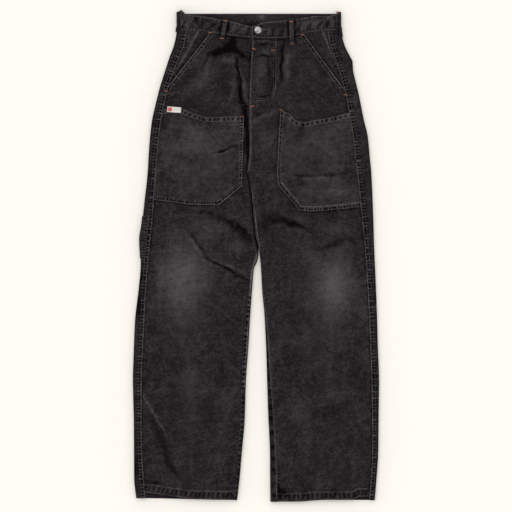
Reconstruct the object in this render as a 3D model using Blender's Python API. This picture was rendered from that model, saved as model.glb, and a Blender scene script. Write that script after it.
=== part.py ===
"""Oversize work trousers in washed black canvas, laid flat with the front up.

+Y runs from the hems to the waist, +X towards the wearer's left and +Z up from the floor.
Sizes are in millimetres and become metres when a mesh is made. Every cloth piece is a wall of
even thickness inside an outer face: the two front panels are the upper layer, and each back
panel runs from the outseam on top, round the outer fold, along the floor and round the inner
fold to the inseam. What is sewn on a panel is made from that panel's face, moved out.
"""

import itertools
import math
from collections import namedtuple

import bpy
from mathutils import Vector

MM = 0.001

# Cloth, gaps and the height of the flat garment
CLOTH = 1.2
BAND_CLOTH = 2.4
LOOP_CLOTH = 1.8
TAB_CLOTH = 1.0
SEAM_GAP = 0.3
LIE_GAP = 0.6
LAYER_TOP = 6.0
FOLD_REACH = 4.0
FULLNESS = 0.9
FELL_RISE = 0.7
HEM_WIDTH = 19.0
HEM_RISE = 0.8
MOUTH_HEM = 9.0
TURN_STEP = 1.5

# Heights along the garment, waist to hem
WAIST_SEAM_BACK = 522.0
BACK_BAND_TOP = 557.0
WAIST_LEVEL = 518.0
WAIST_CURVE_END = 300.0
FULL_FROM = 420.0
FLY_END = 344.0
CROTCH = 193.0
FORK = 9.0
HEM_RIGHT = -561.0
HEM_LEFT = -565.0

# Front opening: the left side laps over the right one
FLY_EDGE = -9.0
UNDERLAP_END = 14.0
LAP_RUN_OUT = 36.0
LAP_FADE = (FLY_END - 24.0, FLY_END - 4.0)
LAP_LIFT = CLOTH + LIE_GAP
BAND_LAP_LIFT = BAND_CLOTH + LIE_GAP

# Band, loops, button and tab
BAND_SIDE_RIGHT = -180.5
BAND_SIDE_LEFT = 193.5
LOOP_WIDTH = 12.7
BUTTON_CENTRE = (4.0, 520.0)
TAB_SIZE = (32.0, 13.0)
TAB_CENTRE = (-188.0, 336.0)
TAB_TILT = math.radians(-5.0)

# Slanted pocket mouths: x, y at the band and at the outseam
MOUTH_RIGHT = ((-106.0, 513.0), (-210.0, 379.0))
MOUTH_LEFT = ((108.0, 513.0), (203.0, 383.0))
FACING_UNDER = 24.0
FACING_RAMP = 5.0
FACING_SINK = CLOTH + LIE_GAP

Side = namedtuple("Side", "y fold outseam")
RIGHT_SIDE = (
    Side(560, -180, -165),
    Side(518, -182, -167),
    Side(485, -188, -172),
    Side(458, -198, -183),
    Side(425, -209, -196),
    Side(391, -220, -208),
    Side(344, -232, -219),
    Side(306, -240, -226),
    Side(244, -246, -233),
    Side(193, -249, -237),
    Side(129, -256, -242),
    Side(74, -262, -246),
    Side(37, -267, -250),
    Side(-14, -265, -255),
    Side(-78, -270, -260),
    Side(-147, -278, -264),
    Side(-216, -281, -265),
    Side(-285, -283, -266),
    Side(-377, -281, -265),
    Side(-515, -280, -263),
    Side(-565, -275, -261),
)
LEFT_SIDE = (
    Side(560, 193, 171),
    Side(518, 195, 172),
    Side(485, 203, 178),
    Side(458, 216, 187),
    Side(446, 222, 192),
    Side(428, 223, 198),
    Side(405, 228, 204),
    Side(368, 237, 214),
    Side(317, 247, 223),
    Side(274, 257, 230),
    Side(223, 262, 236),
    Side(193, 265, 240),
    Side(154, 267, 244),
    Side(74, 270, 252),
    Side(9, 272, 258),
    Side(-32, 274, 261),
    Side(-78, 276, 264),
    Side(-131, 278, 267),
    Side(-205, 280, 268),
    Side(-285, 283, 269),
    Side(-363, 282, 269),
    Side(-451, 281, 268),
    Side(-515, 277, 264),
    Side(-567, 273, 261),
)

Inside = namedtuple("Inside", "y fold inseam")
RIGHT_INSIDE = (
    Inside(193, -20.2, -21.4),
    Inside(154, -10.8, -15.0),
    Inside(113, -6.6, -14.0),
    Inside(74, -3.2, -13.0),
    Inside(37, 2.2, -10.0),
    Inside(14, 6.0, -6.5),
    Inside(-9, 3.5, -7.5),
    Inside(-30, -5.0, -12.0),
    Inside(-78, -9.0, -18.0),
    Inside(-147, -14.0, -26.0),
    Inside(-216, -18.0, -31.0),
    Inside(-285, -23.0, -34.0),
    Inside(-377, -26.0, -37.0),
    Inside(-446, -32.0, -42.0),
    Inside(-515, -38.0, -47.0),
    Inside(-565, -44.0, -52.0),
)
LEFT_INSIDE = (
    Inside(193, -19.8, -18.6),
    Inside(154, -9.9, -7.5),
    Inside(113, -5.8, -2.5),
    Inside(74, -2.4, 2.0),
    Inside(37, 3.0, 6.5),
    Inside(9, 7.8, 11.0),
    Inside(-32, 11.5, 15.0),
    Inside(-78, 14.0, 18.0),
    Inside(-131, 19.0, 24.0),
    Inside(-205, 23.0, 30.0),
    Inside(-285, 25.5, 35.0),
    Inside(-363, 28.0, 41.0),
    Inside(-451, 32.0, 46.0),
    Inside(-515, 32.5, 48.0),
    Inside(-567, 33.0, 49.0),
)

Centre = namedtuple("Centre", "y x groove")
CENTRE_SEAM = (
    Centre(560, -9.0, 0.0),
    Centre(344, -9.0, 0.0),
    Centre(324, -11.0, 0.2),
    Centre(292, -14.0, 0.5),
    Centre(239, -14.5, 0.7),
    Centre(193, -20.0, 1.0),
)

WaistEdge = namedtuple("WaistEdge", "x seam top")
FRONT_WAIST = (
    WaistEdge(-182, 519, 557),
    WaistEdge(-172, 518, 565),
    WaistEdge(-161, 518, 556),
    WaistEdge(-129, 517, 552),
    WaistEdge(-94, 512, 546),
    WaistEdge(-48, 505, 537),
    WaistEdge(-9, 501, 528),
    WaistEdge(0, 500.5, 530),
    WaistEdge(9, 500, 535),
    WaistEdge(34, 500, 539),
    WaistEdge(67, 501, 542),
    WaistEdge(90, 506, 545),
    WaistEdge(113, 512, 548),
    WaistEdge(143, 516, 552),
    WaistEdge(163, 518, 551),
    WaistEdge(186, 518, 557),
    WaistEdge(195, 519, 558),
)

# Creases and swells of the upper layer: a curve through three points, and its width and rise
Fold = namedtuple("Fold", "x0 y0 x1 y1 x2 y2 width rise")
FOLDS = (
    Fold(-47, 450, -38, 400, -25, 330, 5, -2.4),
    Fold(-35, 445, -27, 400, -17, 335, 9, 2.2),
    Fold(-100, 462, -70, 470, -56, 490, 7, -2.2),
    Fold(-92, 448, -62, 452, -40, 462, 10, 1.8),
    Fold(-85, 440, -104, 385, -128, 345, 22, 1.8),
    Fold(66, 492, 60, 460, 57, 405, 5, -2.2),
    Fold(80, 480, 74, 440, 70, 380, 14, 1.6),
    Fold(30, 330, 8, 312, -13, 300, 8, 1.2),
    Fold(-112, 96, -62, 82, -6, 24, 15, -2.6),
    Fold(-140, 62, -80, 50, -20, -10, 18, 1.8),
    Fold(-152, 55, -128, 20, -112, 0, 8, -2.0),
    Fold(-112, 0, -70, -28, -22, -58, 8, -2.0),
    Fold(26, 100, 75, 78, 130, 60, 13, -2.0),
    Fold(158, 44, 188, 32, 214, 22, 10, -1.8),
    Fold(60, 40, 120, 20, 190, -10, 24, 1.6),
    Fold(-248, -335, -236, -368, -216, -398, 8, -1.6),
    Fold(-215, -420, -198, -470, -166, -520, 12, -1.8),
    Fold(-120, -180, -90, -230, -50, -260, 20, -1.4),
    Fold(60, -250, 120, -300, 205, -330, 20, -1.4),
    Fold(90, -400, 150, -440, 235, -455, 18, -1.4),
    Fold(-130, 520, -158, 470, -192, 415, 6, 1.0),
)
FOLD_STEPS = 8
FOLD_EDGE_FADE = 22.0

# Rows of the panels: the height where a stretch ends, and its number of rows
RowRun = namedtuple("RowRun", "end rows")
ROW_RUNS = (
    RowRun(FLY_END, 8),
    RowRun(CROTCH + 8.0, 7),
    RowRun(CROTCH, 1),
    RowRun(FORK, 8),
    RowRun(-540.0, 16),
)

# Columns of the panels and steps round the folds
FRONT_COLUMNS = 14
EDGE_COLUMNS = 2
UNDERLAP_COLUMNS = 2
CENTRE_CROWDING = 1.35
ROLL_STEPS = 5
FLOOR_STEPS = 4
LIP_STEPS = 3
LIP_CROWDING = 1.5
FELL_SHARE = 0.55

# The band's stations: shares of the way across the left top, the floor and the right top
BAND_LEFT_SHARES = (0.0, 0.08, 0.2, 0.32, 0.45, 0.6, 0.75, 0.88, 1.0)
BAND_FLOOR_SHARES = (0.2, 0.4, 0.6, 0.8, 1.0)
BAND_RIGHT_SHARES = (0.024, 0.09, 0.16, 0.28, 0.42, 0.56, 0.72, 0.88, 1.0)
BAND_ROW_SHARES = (1.0, 0.9, 0.5, 0.1, 0.0)
UNDERLAP_TUCK = 2.5

# Patch pockets on the thighs: their edges in plan
Edge = namedtuple("Edge", "x y")
THIGH_POCKETS = {
    "right": {
        "top": (Edge(-222, 337), Edge(-172, 340), Edge(-152, 331), Edge(-117, 319), Edge(-28, 321)),
        "bottom": (Edge(-242, 130), Edge(-150, 118), Edge(-85, 117), Edge(-32, 161)),
        "inner": (Edge(-28, 321), Edge(-32, 161)),
    },
    "left": {
        "top": (Edge(56, 335), Edge(78, 327), Edge(91, 312), Edge(108, 307), Edge(152, 315), Edge(224, 331)),
        "bottom": (Edge(51, 163), Edge(101, 107), Edge(130, 110), Edge(189, 115), Edge(246, 127)),
        "inner": (Edge(56, 335), Edge(48, 194), Edge(51, 163)),
    },
}
POCKET_LEVELS = (325.0, 125.0)
POCKET_COLUMNS = 11
POCKET_HEM_SHARE = 0.06
POCKET_ROWS = (0.0, 0.055, 0.07, 0.2, 0.36, 0.52, 0.68, 0.84, 1.0)
POCKET_PUFF = 0.8

# The narrow pocket at the side of the right leg, and angles round the side fold
ToolPocket = namedtuple("ToolPocket", "top bottom")
LEG_TOOL_POCKET = ToolPocket(92.0, -6.0)
ROUND_SIDE_ANGLES = (90.0, 54.0, 18.0, -18.0)

# Belt loops: the strips at the front, and the heights of those at the sides
Loop = namedtuple("Loop", "top_x top_y low_x low_y")
FRONT_LOOPS = {
    "right": Loop(-70.0, 542.0, -78.0, 499.0),
    "left": Loop(81.0, 544.0, 82.0, 488.0),
}
FRONT_LOOP_ROWS = (0.0, 0.1, 0.25, 0.45, 0.6, 0.72, 0.82, 0.92, 1.0)
FRONT_LOOP_COLUMNS = (-0.5, -0.2, 0.2, 0.5)
LOOP_SLACK = 1.2
SIDE_LOOPS = {"right": (561.0, 515.0), "left": (561.0, 504.0)}
SIDE_LOOP_ANGLES = (90.0, 62.0, 34.0, 8.0, -20.0)
SIDE_LOOP_TOP_RUN = 5.0

# The button's turned profile
Turned = namedtuple("Turned", "radius height")
BUTTON_PROFILE = (
    Turned(0.0, 0.0),
    Turned(6.4, 0.0),
    Turned(7.5, 0.6),
    Turned(7.7, 1.5),
    Turned(7.2, 2.4),
    Turned(5.9, 2.8),
    Turned(4.9, 2.3),
    Turned(3.2, 2.9),
    Turned(0.0, 3.3),
)
BUTTON_SIDES = 20

# Colours of the cloth and the fittings
BLACK_CANVAS = (0.028, 0.026, 0.029)
FACING_CANVAS = (0.024, 0.022, 0.025)
BUTTON_METAL = (0.62, 0.62, 0.60)
TAB_WHITE = (0.78, 0.77, 0.74)


def clear_scene():
    for thing in list(bpy.data.objects):
        bpy.data.objects.remove(thing, do_unlink=True)


def make_material(name, colour, roughness, metallic=0.0):
    material = bpy.data.materials.new(name)
    material.use_nodes = True
    shader = material.node_tree.nodes["Principled BSDF"]
    shader.inputs["Base Color"].default_value = (*colour, 1.0)
    shader.inputs["Roughness"].default_value = roughness
    shader.inputs["Metallic"].default_value = metallic
    return material


def mix(a, b, share):
    return a + (b - a) * share


def smooth_step(low, high, value):
    share = min(1.0, max(0.0, (value - low) / (high - low)))
    return share * share * (3.0 - 2.0 * share)


def table_curve(pairs):
    """A smooth curve through (place, value) pairs that never swings past them."""
    pairs = sorted(pairs)
    places = [pair[0] for pair in pairs]
    values = [pair[1] for pair in pairs]
    steps = [places[i + 1] - places[i] for i in range(len(pairs) - 1)]
    slopes = [(values[i + 1] - values[i]) / steps[i] for i in range(len(steps))]
    tangents = [slopes[0]]
    for before, after in zip(slopes, slopes[1:]):
        level = before * after <= 0.0
        tangents.append(0.0 if level else 2.0 * before * after / (before + after))
    tangents.append(slopes[-1])

    def value_at(place):
        place = min(places[-1], max(places[0], place))
        i = max(k for k in range(len(steps)) if places[k] <= place)
        share = (place - places[i]) / steps[i]
        square, cube = share ** 2, share ** 3
        return (
            (2 * cube - 3 * square + 1) * values[i]
            + (cube - 2 * square + share) * steps[i] * tangents[i]
            + (3 * square - 2 * cube) * values[i + 1]
            + (cube - square) * steps[i] * tangents[i + 1]
        )

    return value_at


outer_fold = {
    "right": table_curve((row.y, row.fold) for row in RIGHT_SIDE),
    "left": table_curve((row.y, row.fold) for row in LEFT_SIDE),
}
outseam = {
    "right": table_curve((row.y, row.outseam) for row in RIGHT_SIDE),
    "left": table_curve((row.y, row.outseam) for row in LEFT_SIDE),
}
inner_fold = {
    "right": table_curve((row.y, row.fold) for row in RIGHT_INSIDE),
    "left": table_curve((row.y, row.fold) for row in LEFT_INSIDE),
}
inseam = {
    "right": table_curve((row.y, row.inseam) for row in RIGHT_INSIDE),
    "left": table_curve((row.y, row.inseam) for row in LEFT_INSIDE),
}
centre_seam = table_curve((row.y, row.x) for row in CENTRE_SEAM)
centre_groove = table_curve((row.y, row.groove) for row in CENTRE_SEAM)
waist_seam = table_curve((row.x, row.seam) for row in FRONT_WAIST)
band_top = table_curve((row.x, row.top) for row in FRONT_WAIST)
mouth = {"right": MOUTH_RIGHT, "left": MOUTH_LEFT}
hem = {"right": HEM_RIGHT, "left": HEM_LEFT}
OUTWARD = {"right": -1.0, "left": 1.0}


def fold_points(fold):
    """Points along a fold's curve, with their share of its length."""
    points = []
    for step in range(FOLD_STEPS + 1):
        t = step / FOLD_STEPS
        # The middle point lies on the curve, so the control point lies past it
        control_x = 2 * fold.x1 - (fold.x0 + fold.x2) / 2
        control_y = 2 * fold.y1 - (fold.y0 + fold.y2) / 2
        x = (1 - t) ** 2 * fold.x0 + 2 * t * (1 - t) * control_x + t * t * fold.x2
        y = (1 - t) ** 2 * fold.y0 + 2 * t * (1 - t) * control_y + t * t * fold.y2
        points.append((x, y, t))
    return points


FOLD_CURVES = [(fold, fold_points(fold)) for fold in FOLDS]


def fold_rise(x, y):
    """How far the creases and swells lift the upper layer here."""
    total = 0.0
    for fold, points in FOLD_CURVES:
        nearest, along = 1e9, 0.0
        for (ax, ay, at), (bx, by, bt) in zip(points, points[1:]):
            dx, dy = bx - ax, by - ay
            share = ((x - ax) * dx + (y - ay) * dy) / (dx * dx + dy * dy)
            share = min(1.0, max(0.0, share))
            distance = math.hypot(x - ax - share * dx, y - ay - share * dy)
            if distance < nearest:
                nearest, along = distance, mix(at, bt, share)
        if nearest < 3.0 * fold.width:
            taper = math.sin(math.pi * mix(0.12, 0.88, along))
            total += fold.rise * taper * math.exp(-((nearest / fold.width) ** 2))
    return total


def roll_share(distance):
    """Height of the upper layer over its fold, as a share of its full height."""
    if distance >= FOLD_REACH:
        return 1.0
    rest = 1.0 - max(0.0, distance) / FOLD_REACH
    return 0.5 + 0.5 * math.sqrt(1.0 - rest * rest)


def fly_lift(x, y, lift):
    """The left side rises where it lies over the right one."""
    across = 1.0 - smooth_step(UNDERLAP_END, LAP_RUN_OUT, x)
    down = smooth_step(*LAP_FADE, y)
    return lift * across * down


def layer_height(side, x, y):
    """Full height of the upper layer, before it rolls down at a fold."""
    outer = outer_fold[side](y)
    inner = centre_seam(y) if y > CROTCH else inner_fold[side](y)
    across = min(1.0, max(0.0, (x - inner) / (outer - inner)))
    full = FULLNESS * math.sin(math.pi * across) * smooth_step(BACK_BAND_TOP, FULL_FROM, y)
    edge = min(abs(x - outer), abs(x - inner)) if y < CROTCH else abs(x - outer)
    return LAYER_TOP + full + fold_rise(x, y) * smooth_step(0.0, FOLD_EDGE_FADE, edge)


def upper_face(side, x, y):
    """A point of the upper layer's outer face."""
    height = layer_height(side, x, y)
    if side == "left":
        height += fly_lift(x, y, LAP_LIFT)
    height *= roll_share(abs(x - outer_fold[side](y)))
    if y < CROTCH:
        height *= roll_share(abs(x - inner_fold[side](y)))
    else:
        sink = 1.0 - roll_share(abs(x - centre_seam(y)))
        height *= 1.0 - centre_groove(y) * sink
    return Vector((x, y, height))


class FacePoint(Vector):
    """A point on or over the upper face, which keeps that face's normal."""

    def __new__(cls, side, x, y, rise=0.0):
        step = 1.0
        along = upper_face(side, x + step, y) - upper_face(side, x - step, y)
        up = upper_face(side, x, y + step) - upper_face(side, x, y - step)
        point = super().__new__(cls, upper_face(side, x, y) + Vector((0.0, 0.0, rise)))
        point.normal = along.cross(up).normalized()
        return point


def row_heights(side):
    """Heights of the panel's rows from the waist seam to the hem."""
    heights = [WAIST_LEVEL]
    for run in ROW_RUNS:
        start = heights[-1]
        heights += [mix(start, run.end, step / run.rows) for step in range(1, run.rows + 1)]
    heights[-1] = hem[side] + HEM_WIDTH
    return heights + [hem[side] + HEM_WIDTH - TURN_STEP, hem[side]]


def waist_shift(x, height, on_floor=0.0):
    """Moves a row near the waist so that the top row follows the band."""
    seam = mix(waist_seam(x), WAIST_SEAM_BACK, on_floor) - SEAM_GAP * (1.0 + on_floor)
    fade = min(1.0, max(0.0, (height - WAIST_CURVE_END) / (WAIST_LEVEL - WAIST_CURVE_END)))
    return height + (seam - WAIST_LEVEL) * fade ** 2


def make_object(name, points, faces, material):
    mesh = bpy.data.meshes.new(name)
    mesh.from_pydata([point * MM for point in points], [], faces)
    mesh.validate()
    mesh.shade_smooth()
    mesh.set_sharp_from_angle(angle=math.radians(40.0))
    mesh.materials.append(material)
    thing = bpy.data.objects.new(name, mesh)
    bpy.context.scene.collection.objects.link(thing)
    return thing


def grid_normals(grid, present):
    """Unit normals of a grid of points, from the cells that are there."""
    rows, columns = len(grid), len(grid[0])
    normals = [[Vector((0.0, 0.0, 0.0)) for _ in range(columns)] for _ in range(rows)]
    for i in range(rows - 1):
        for j in range(columns - 1):
            if not present(i, j):
                continue
            corners = ((i, j), (i + 1, j), (i + 1, j + 1), (i, j + 1))
            a, b, c, d = (grid[row][column] for row, column in corners)
            normal = (c - a).cross(d - b).normalized()
            for row, column in corners:
                normals[row][column] += normal
    return [[normal.normalized() if normal.length else normal for normal in row] for row in normals]


def wall(name, grid, thickness, material, present=None):
    """A closed wall inside a grid of outer points; thickness is one number or a function."""
    present = present or (lambda i, j: True)
    depth = thickness if callable(thickness) else (lambda i, j: thickness)
    rows, columns = len(grid), len(grid[0])
    normals = grid_normals(grid, present)
    for i, j in itertools.product(range(rows), range(columns)):
        if isinstance(grid[i][j], FacePoint):
            normals[i][j] = grid[i][j].normal
    cells = [(i, j) for i in range(rows - 1) for j in range(columns - 1) if present(i, j)]
    used = sorted({(i + a, j + b) for i, j in cells for a in (0, 1) for b in (0, 1)})
    number = {place: index for index, place in enumerate(used)}
    outer = [grid[i][j] for i, j in used]
    inner = [grid[i][j] - normals[i][j] * depth(i, j) for i, j in used]
    under = len(used)
    faces, edges = [], set()
    for i, j in cells:
        ring = [number[place] for place in ((i, j), (i + 1, j), (i + 1, j + 1), (i, j + 1))]
        faces.append(ring)
        faces.append([under + index for index in reversed(ring)])
        edges.update(zip(ring, ring[1:] + ring[:1]))
    for a, b in sorted(edges):
        if (b, a) not in edges:
            faces.append([b, a, under + a, under + b])
    return make_object(name, outer + inner, faces, material)


def front_column_place(column, outer, inner):
    """Place of a column: a hem's width at the outer edge, then closer towards the centre."""
    hem_edge = outer + math.copysign(MOUTH_HEM + TURN_STEP, inner - outer)
    if column == 0:
        return outer
    if column < EDGE_COLUMNS:
        return outer + math.copysign(MOUTH_HEM, inner - outer)
    share = (column - EDGE_COLUMNS) / (FRONT_COLUMNS - EDGE_COLUMNS)
    return mix(inner, hem_edge, (1.0 - share) ** CENTRE_CROWDING)


def front_outer_edge(side, y):
    """The pocket mouth where there is one, and the outseam below it."""
    (top_x, top_y), (low_x, low_y) = mouth[side]
    if y >= low_y:
        return mix(low_x, top_x, (y - low_y) / (top_y - low_y))
    run_out = smooth_step(low_y - 30.0, low_y, y)
    return mix(outseam[side](y) - OUTWARD[side] * SEAM_GAP / 2, low_x, run_out)


def front_inner_edge(side, y):
    """The centre seam down to the crotch, and the inseam below it."""
    gap = OUTWARD[side] * SEAM_GAP / 2
    return (centre_seam(y) if y > CROTCH else inseam[side](y) + gap) + gap


def front_rise(side, height, column):
    """The turned hem at the bottom and at the pocket mouth, thicker than the panel."""
    if height <= hem[side] + HEM_WIDTH - 1.0:
        return HEM_RISE
    return FELL_RISE if column < EDGE_COLUMNS and height > mouth[side][1][1] else 0.0


def front_panel(side, material):
    heights = row_heights(side)
    underlap = UNDERLAP_COLUMNS if side == "right" else 0
    grid = []
    for height in heights:
        edge_y = waist_shift(front_outer_edge(side, height), height)
        outer = front_outer_edge(side, edge_y)
        inner = front_inner_edge(side, height)
        row = []
        for column in range(FRONT_COLUMNS + 1):
            x = front_column_place(column, outer, inner)
            row.append(FacePoint(side, x, waist_shift(x, height), front_rise(side, height, column)))
        for column in range(1, underlap + 1):
            x = mix(inner, UNDERLAP_END, column / underlap)
            flat = layer_height("right", inner, height)
            row.append(Vector((x, waist_shift(x, height), flat)))
        grid.append(row)

    def present(i, j):
        return j < FRONT_COLUMNS or heights[i + 1] >= FLY_END - 1.0

    def depth(i, j):
        return CLOTH + front_rise(side, heights[i], j)

    return wall_sided(f"front_{side}", grid, depth, material, side == "right", present)


def wall_sided(name, grid, depth, material, runs_left, present=None):
    """A wall on the upper layer; its grid is turned where its columns don't run to the left."""
    if runs_left:
        return wall(name, grid, depth, material, present)
    last = len(grid[0]) - 1
    turned = [list(reversed(row)) for row in grid]
    turned_depth = (lambda i, j: depth(i, last - j)) if callable(depth) else depth
    turned_present = (lambda i, j: present(i, last - 1 - j)) if present else None
    return wall(name, turned, turned_depth, material, turned_present)


def roll_points(x_fold, outward, y_top, y_floor, top, steps):
    """Half an ellipse round a fold, from the upper layer down to the floor."""
    centre = x_fold - outward * FOLD_REACH
    points = []
    for step in range(steps + 1):
        angle = math.pi * (0.5 - step / steps)
        x = centre + outward * FOLD_REACH * math.cos(angle)
        z = top / 2 * (1.0 + math.sin(angle))
        points.append(Vector((x, mix(y_top, y_floor, step / steps), max(0.0, z))))
    return points


def inner_roll(side, height):
    """The inner fold of a leg and the strip above it, from the floor up to the inseam."""
    fold = inner_fold[side](height)
    inward = -OUTWARD[side]
    centre = fold - inward * FOLD_REACH
    top = layer_height(side, centre, height)
    seam = inseam[side](height) - OUTWARD[side] * SEAM_GAP / 2
    reach = abs(seam - fold)
    points = []
    for step in range(ROLL_STEPS // 2 + 1):
        angle = math.pi / 2 * (step / (ROLL_STEPS // 2) - 1.0)
        x = centre + inward * FOLD_REACH * math.cos(angle)
        points.append(Vector((x, height, max(0.0, top / 2 * (1.0 + math.sin(angle))))))
    for step in range(1, LIP_STEPS + 1):
        share = (step / LIP_STEPS) ** LIP_CROWDING
        felled = smooth_step(1.0, 3.0, reach) * (1.0 - smooth_step(2.0, 9.0, reach * (1.0 - share)))
        points.append(FacePoint(side, mix(fold, seam, share), height, FELL_RISE * felled))
    return points


def back_panel(side, material):
    heights = row_heights(side)
    outward = OUTWARD[side]
    wrapped = ROLL_STEPS // 2 + LIP_STEPS
    grid = []
    for height in heights:
        seam = outseam[side](height) + outward * SEAM_GAP / 2
        fold = outer_fold[side](height)
        roll_top = fold - outward * FOLD_REACH
        fell_end = mix(seam, roll_top, FELL_SHARE)
        row = []
        for x, rise in ((seam, FELL_RISE), (fell_end, FELL_RISE)):
            row.append(FacePoint(side, x, waist_shift(x, height), rise))
        top = layer_height(side, roll_top, height)
        y_top = waist_shift(roll_top, height)
        y_floor = waist_shift(roll_top, height, 1.0)
        row += roll_points(fold, outward, y_top, y_floor, top, ROLL_STEPS)
        if height > CROTCH:
            inner = centre_seam(height) + outward * SEAM_GAP / 2
        else:
            inner = inner_fold[side](height) + outward * FOLD_REACH
        for step in range(1, FLOOR_STEPS + 1):
            x = mix(roll_top, inner, step / FLOOR_STEPS)
            row.append(Vector((x, y_floor, 0.0)))
        if height > CROTCH:
            row += [row[-1].copy() for _ in range(wrapped)]
        else:
            row += inner_roll(side, height)[1:]
        grid.append(row)
    floor_end = 1 + ROLL_STEPS + 1 + FLOOR_STEPS

    def present(i, j):
        return j < floor_end or heights[i] <= CROTCH

    def depth(i, j):
        return CLOTH + (FELL_RISE if j < 2 else 0.0)

    return wall_sided(f"back_{side}", grid, depth, material, side == "left", present)


def leg_tool_pocket(material):
    """The edge of the narrow pocket on the back of the right leg, where it shows at the side."""
    side, outward = "right", OUTWARD["right"]
    top, bottom = LEG_TOOL_POCKET
    inside = [height for height in row_heights(side) if bottom + 4.0 < height < top - 4.0]
    stand = LIE_GAP + CLOTH
    grid = []
    for height in [top] + inside + [bottom]:
        seam = outseam[side](height)
        centre = outer_fold[side](height) - outward * FOLD_REACH
        full = layer_height(side, centre, height)
        row = [FacePoint(side, mix(seam, centre, share), height, FELL_RISE + stand) for share in (0.1, 0.5)]
        for degrees in ROUND_SIDE_ANGLES:
            angle = math.radians(degrees)
            x = centre + outward * (FOLD_REACH + stand) * math.cos(angle)
            z = full / 2 + (full / 2 + stand) * math.sin(angle)
            row.append(Vector((x, height, z + (FELL_RISE if degrees > 80.0 else 0.0))))
        grid.append(row)
    return wall_sided("leg_tool_pocket_right", grid, CLOTH, material, False)


def band_face(x):
    """Height of the band's outer face on top, at its lower edge."""
    side = "left" if x > centre_seam(WAIST_LEVEL) else "right"
    return layer_height(side, x, WAIST_LEVEL) + BAND_CLOTH - CLOTH


def waistband(material):
    """One strip from the lapping left end, round both sides, to the end under the lap."""
    stations = []
    for share in BAND_LEFT_SHARES:
        x = mix(FLY_EDGE, BAND_SIDE_LEFT - FOLD_REACH, share)
        lift = fly_lift(x, WAIST_LEVEL, BAND_LAP_LIFT)
        stations.append((x, band_face(x) + lift, waist_seam(x), band_top(x)))
    side_top = stations[-1]
    for step in range(1, ROLL_STEPS + 1):
        angle = math.pi * (0.5 - step / ROLL_STEPS)
        x = BAND_SIDE_LEFT - FOLD_REACH * (1.0 - math.cos(angle))
        z = max(0.0, side_top[1] / 2 * (1.0 + math.sin(angle)))
        share = step / ROLL_STEPS
        low, high = mix(side_top[2], WAIST_SEAM_BACK, share), mix(side_top[3], BACK_BAND_TOP, share)
        stations.append((x, z, low, high))
    for share in BAND_FLOOR_SHARES:
        x = mix(BAND_SIDE_LEFT - FOLD_REACH, BAND_SIDE_RIGHT + FOLD_REACH, share)
        stations.append((x, 0.0, WAIST_SEAM_BACK, BACK_BAND_TOP))
    corner = BAND_SIDE_RIGHT + FOLD_REACH
    top, seam_y, edge_y = band_face(corner), waist_seam(corner), band_top(corner)
    for step in range(1, ROLL_STEPS + 1):
        share = step / ROLL_STEPS
        angle = math.pi * (share - 0.5)
        x = BAND_SIDE_RIGHT + FOLD_REACH * (1.0 - math.cos(angle))
        z = top / 2 * (1.0 + math.sin(angle))
        stations.append((x, z, mix(WAIST_SEAM_BACK, seam_y, share), mix(BACK_BAND_TOP, edge_y, share)))
    for share in BAND_RIGHT_SHARES:
        x = mix(corner, UNDERLAP_END, share)
        tucked = UNDERLAP_TUCK * smooth_step(2.0 * FLY_EDGE, FLY_EDGE, x)
        edge = band_top(min(x, FLY_EDGE)) - tucked
        stations.append((x, band_face(min(x, FLY_EDGE)), waist_seam(x), edge))
    grid = [
        [Vector((x, mix(low, high, share), z)) for x, z, low, high in stations]
        for share in BAND_ROW_SHARES
    ]
    return wall("waistband", grid, BAND_CLOTH, material)


def pocket_facing(side, material):
    """The cloth in the slanted pocket mouth, level at the outseam and under the front inside."""
    (top_x, top_y), (low_x, low_y) = mouth[side]
    inward = -OUTWARD[side]
    heights = [height for height in row_heights(side) if height > low_y + 12.0] + [low_y + 5.0]
    grid = []
    for height in heights:
        seam = outseam[side](height) + inward * SEAM_GAP / 2
        line_y = waist_shift(mix(low_x, top_x, (height - low_y) / (top_y - low_y)), height)
        line = mix(low_x, top_x, (line_y - low_y) / (top_y - low_y))
        shown = abs(line - seam)
        ramp = min(FACING_RAMP, shown * 0.5)
        places = (
            (seam, 0.0),
            (seam + inward * (shown - ramp) / 2, 0.0),
            (line - inward * ramp, -0.4),
            (line - inward * 0.3 * ramp, -FACING_SINK),
            (line + inward * FACING_UNDER / 2, -FACING_SINK),
            (line + inward * FACING_UNDER, -FACING_SINK),
        )
        grid.append([FacePoint(side, x, waist_shift(x, height), rise) for x, rise in places])
    return wall_sided(f"pocket_facing_{side}", grid, CLOTH, material, side == "right")


def broken_line(points, place, value, at):
    """Height of a line of straight stretches over a place."""
    ordered = sorted(points, key=place)
    for a, b in zip(ordered, ordered[1:]):
        if at <= place(b):
            share = max(0.0, (at - place(a)) / (place(b) - place(a)))
            return mix(value(a), value(b), share)
    return value(ordered[-1])


def pocket_point(side, across, down):
    """Place of a patch pocket's point in plan."""
    shape = THIGH_POCKETS[side]
    guess_y = mix(*POCKET_LEVELS, down)
    for _ in range(3):
        outer = outseam[side](guess_y) - OUTWARD[side] * 1.0
        inner = broken_line(shape["inner"], lambda e: e.y, lambda e: e.x, guess_y)
        x = mix(outer, inner, across)
        top = broken_line(shape["top"], lambda e: e.x, lambda e: e.y, x)
        bottom = broken_line(shape["bottom"], lambda e: e.x, lambda e: e.y, x)
        guess_y = mix(top, bottom, down)
    return x, guess_y


def lifted(point_at, x, y, distance):
    """A face's point moved out along the face's own normal."""
    step = 1.5
    along = point_at(x + step, y) - point_at(x - step, y)
    up = point_at(x, y + step) - point_at(x, y - step)
    return point_at(x, y) + along.cross(up).normalized() * distance


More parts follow.
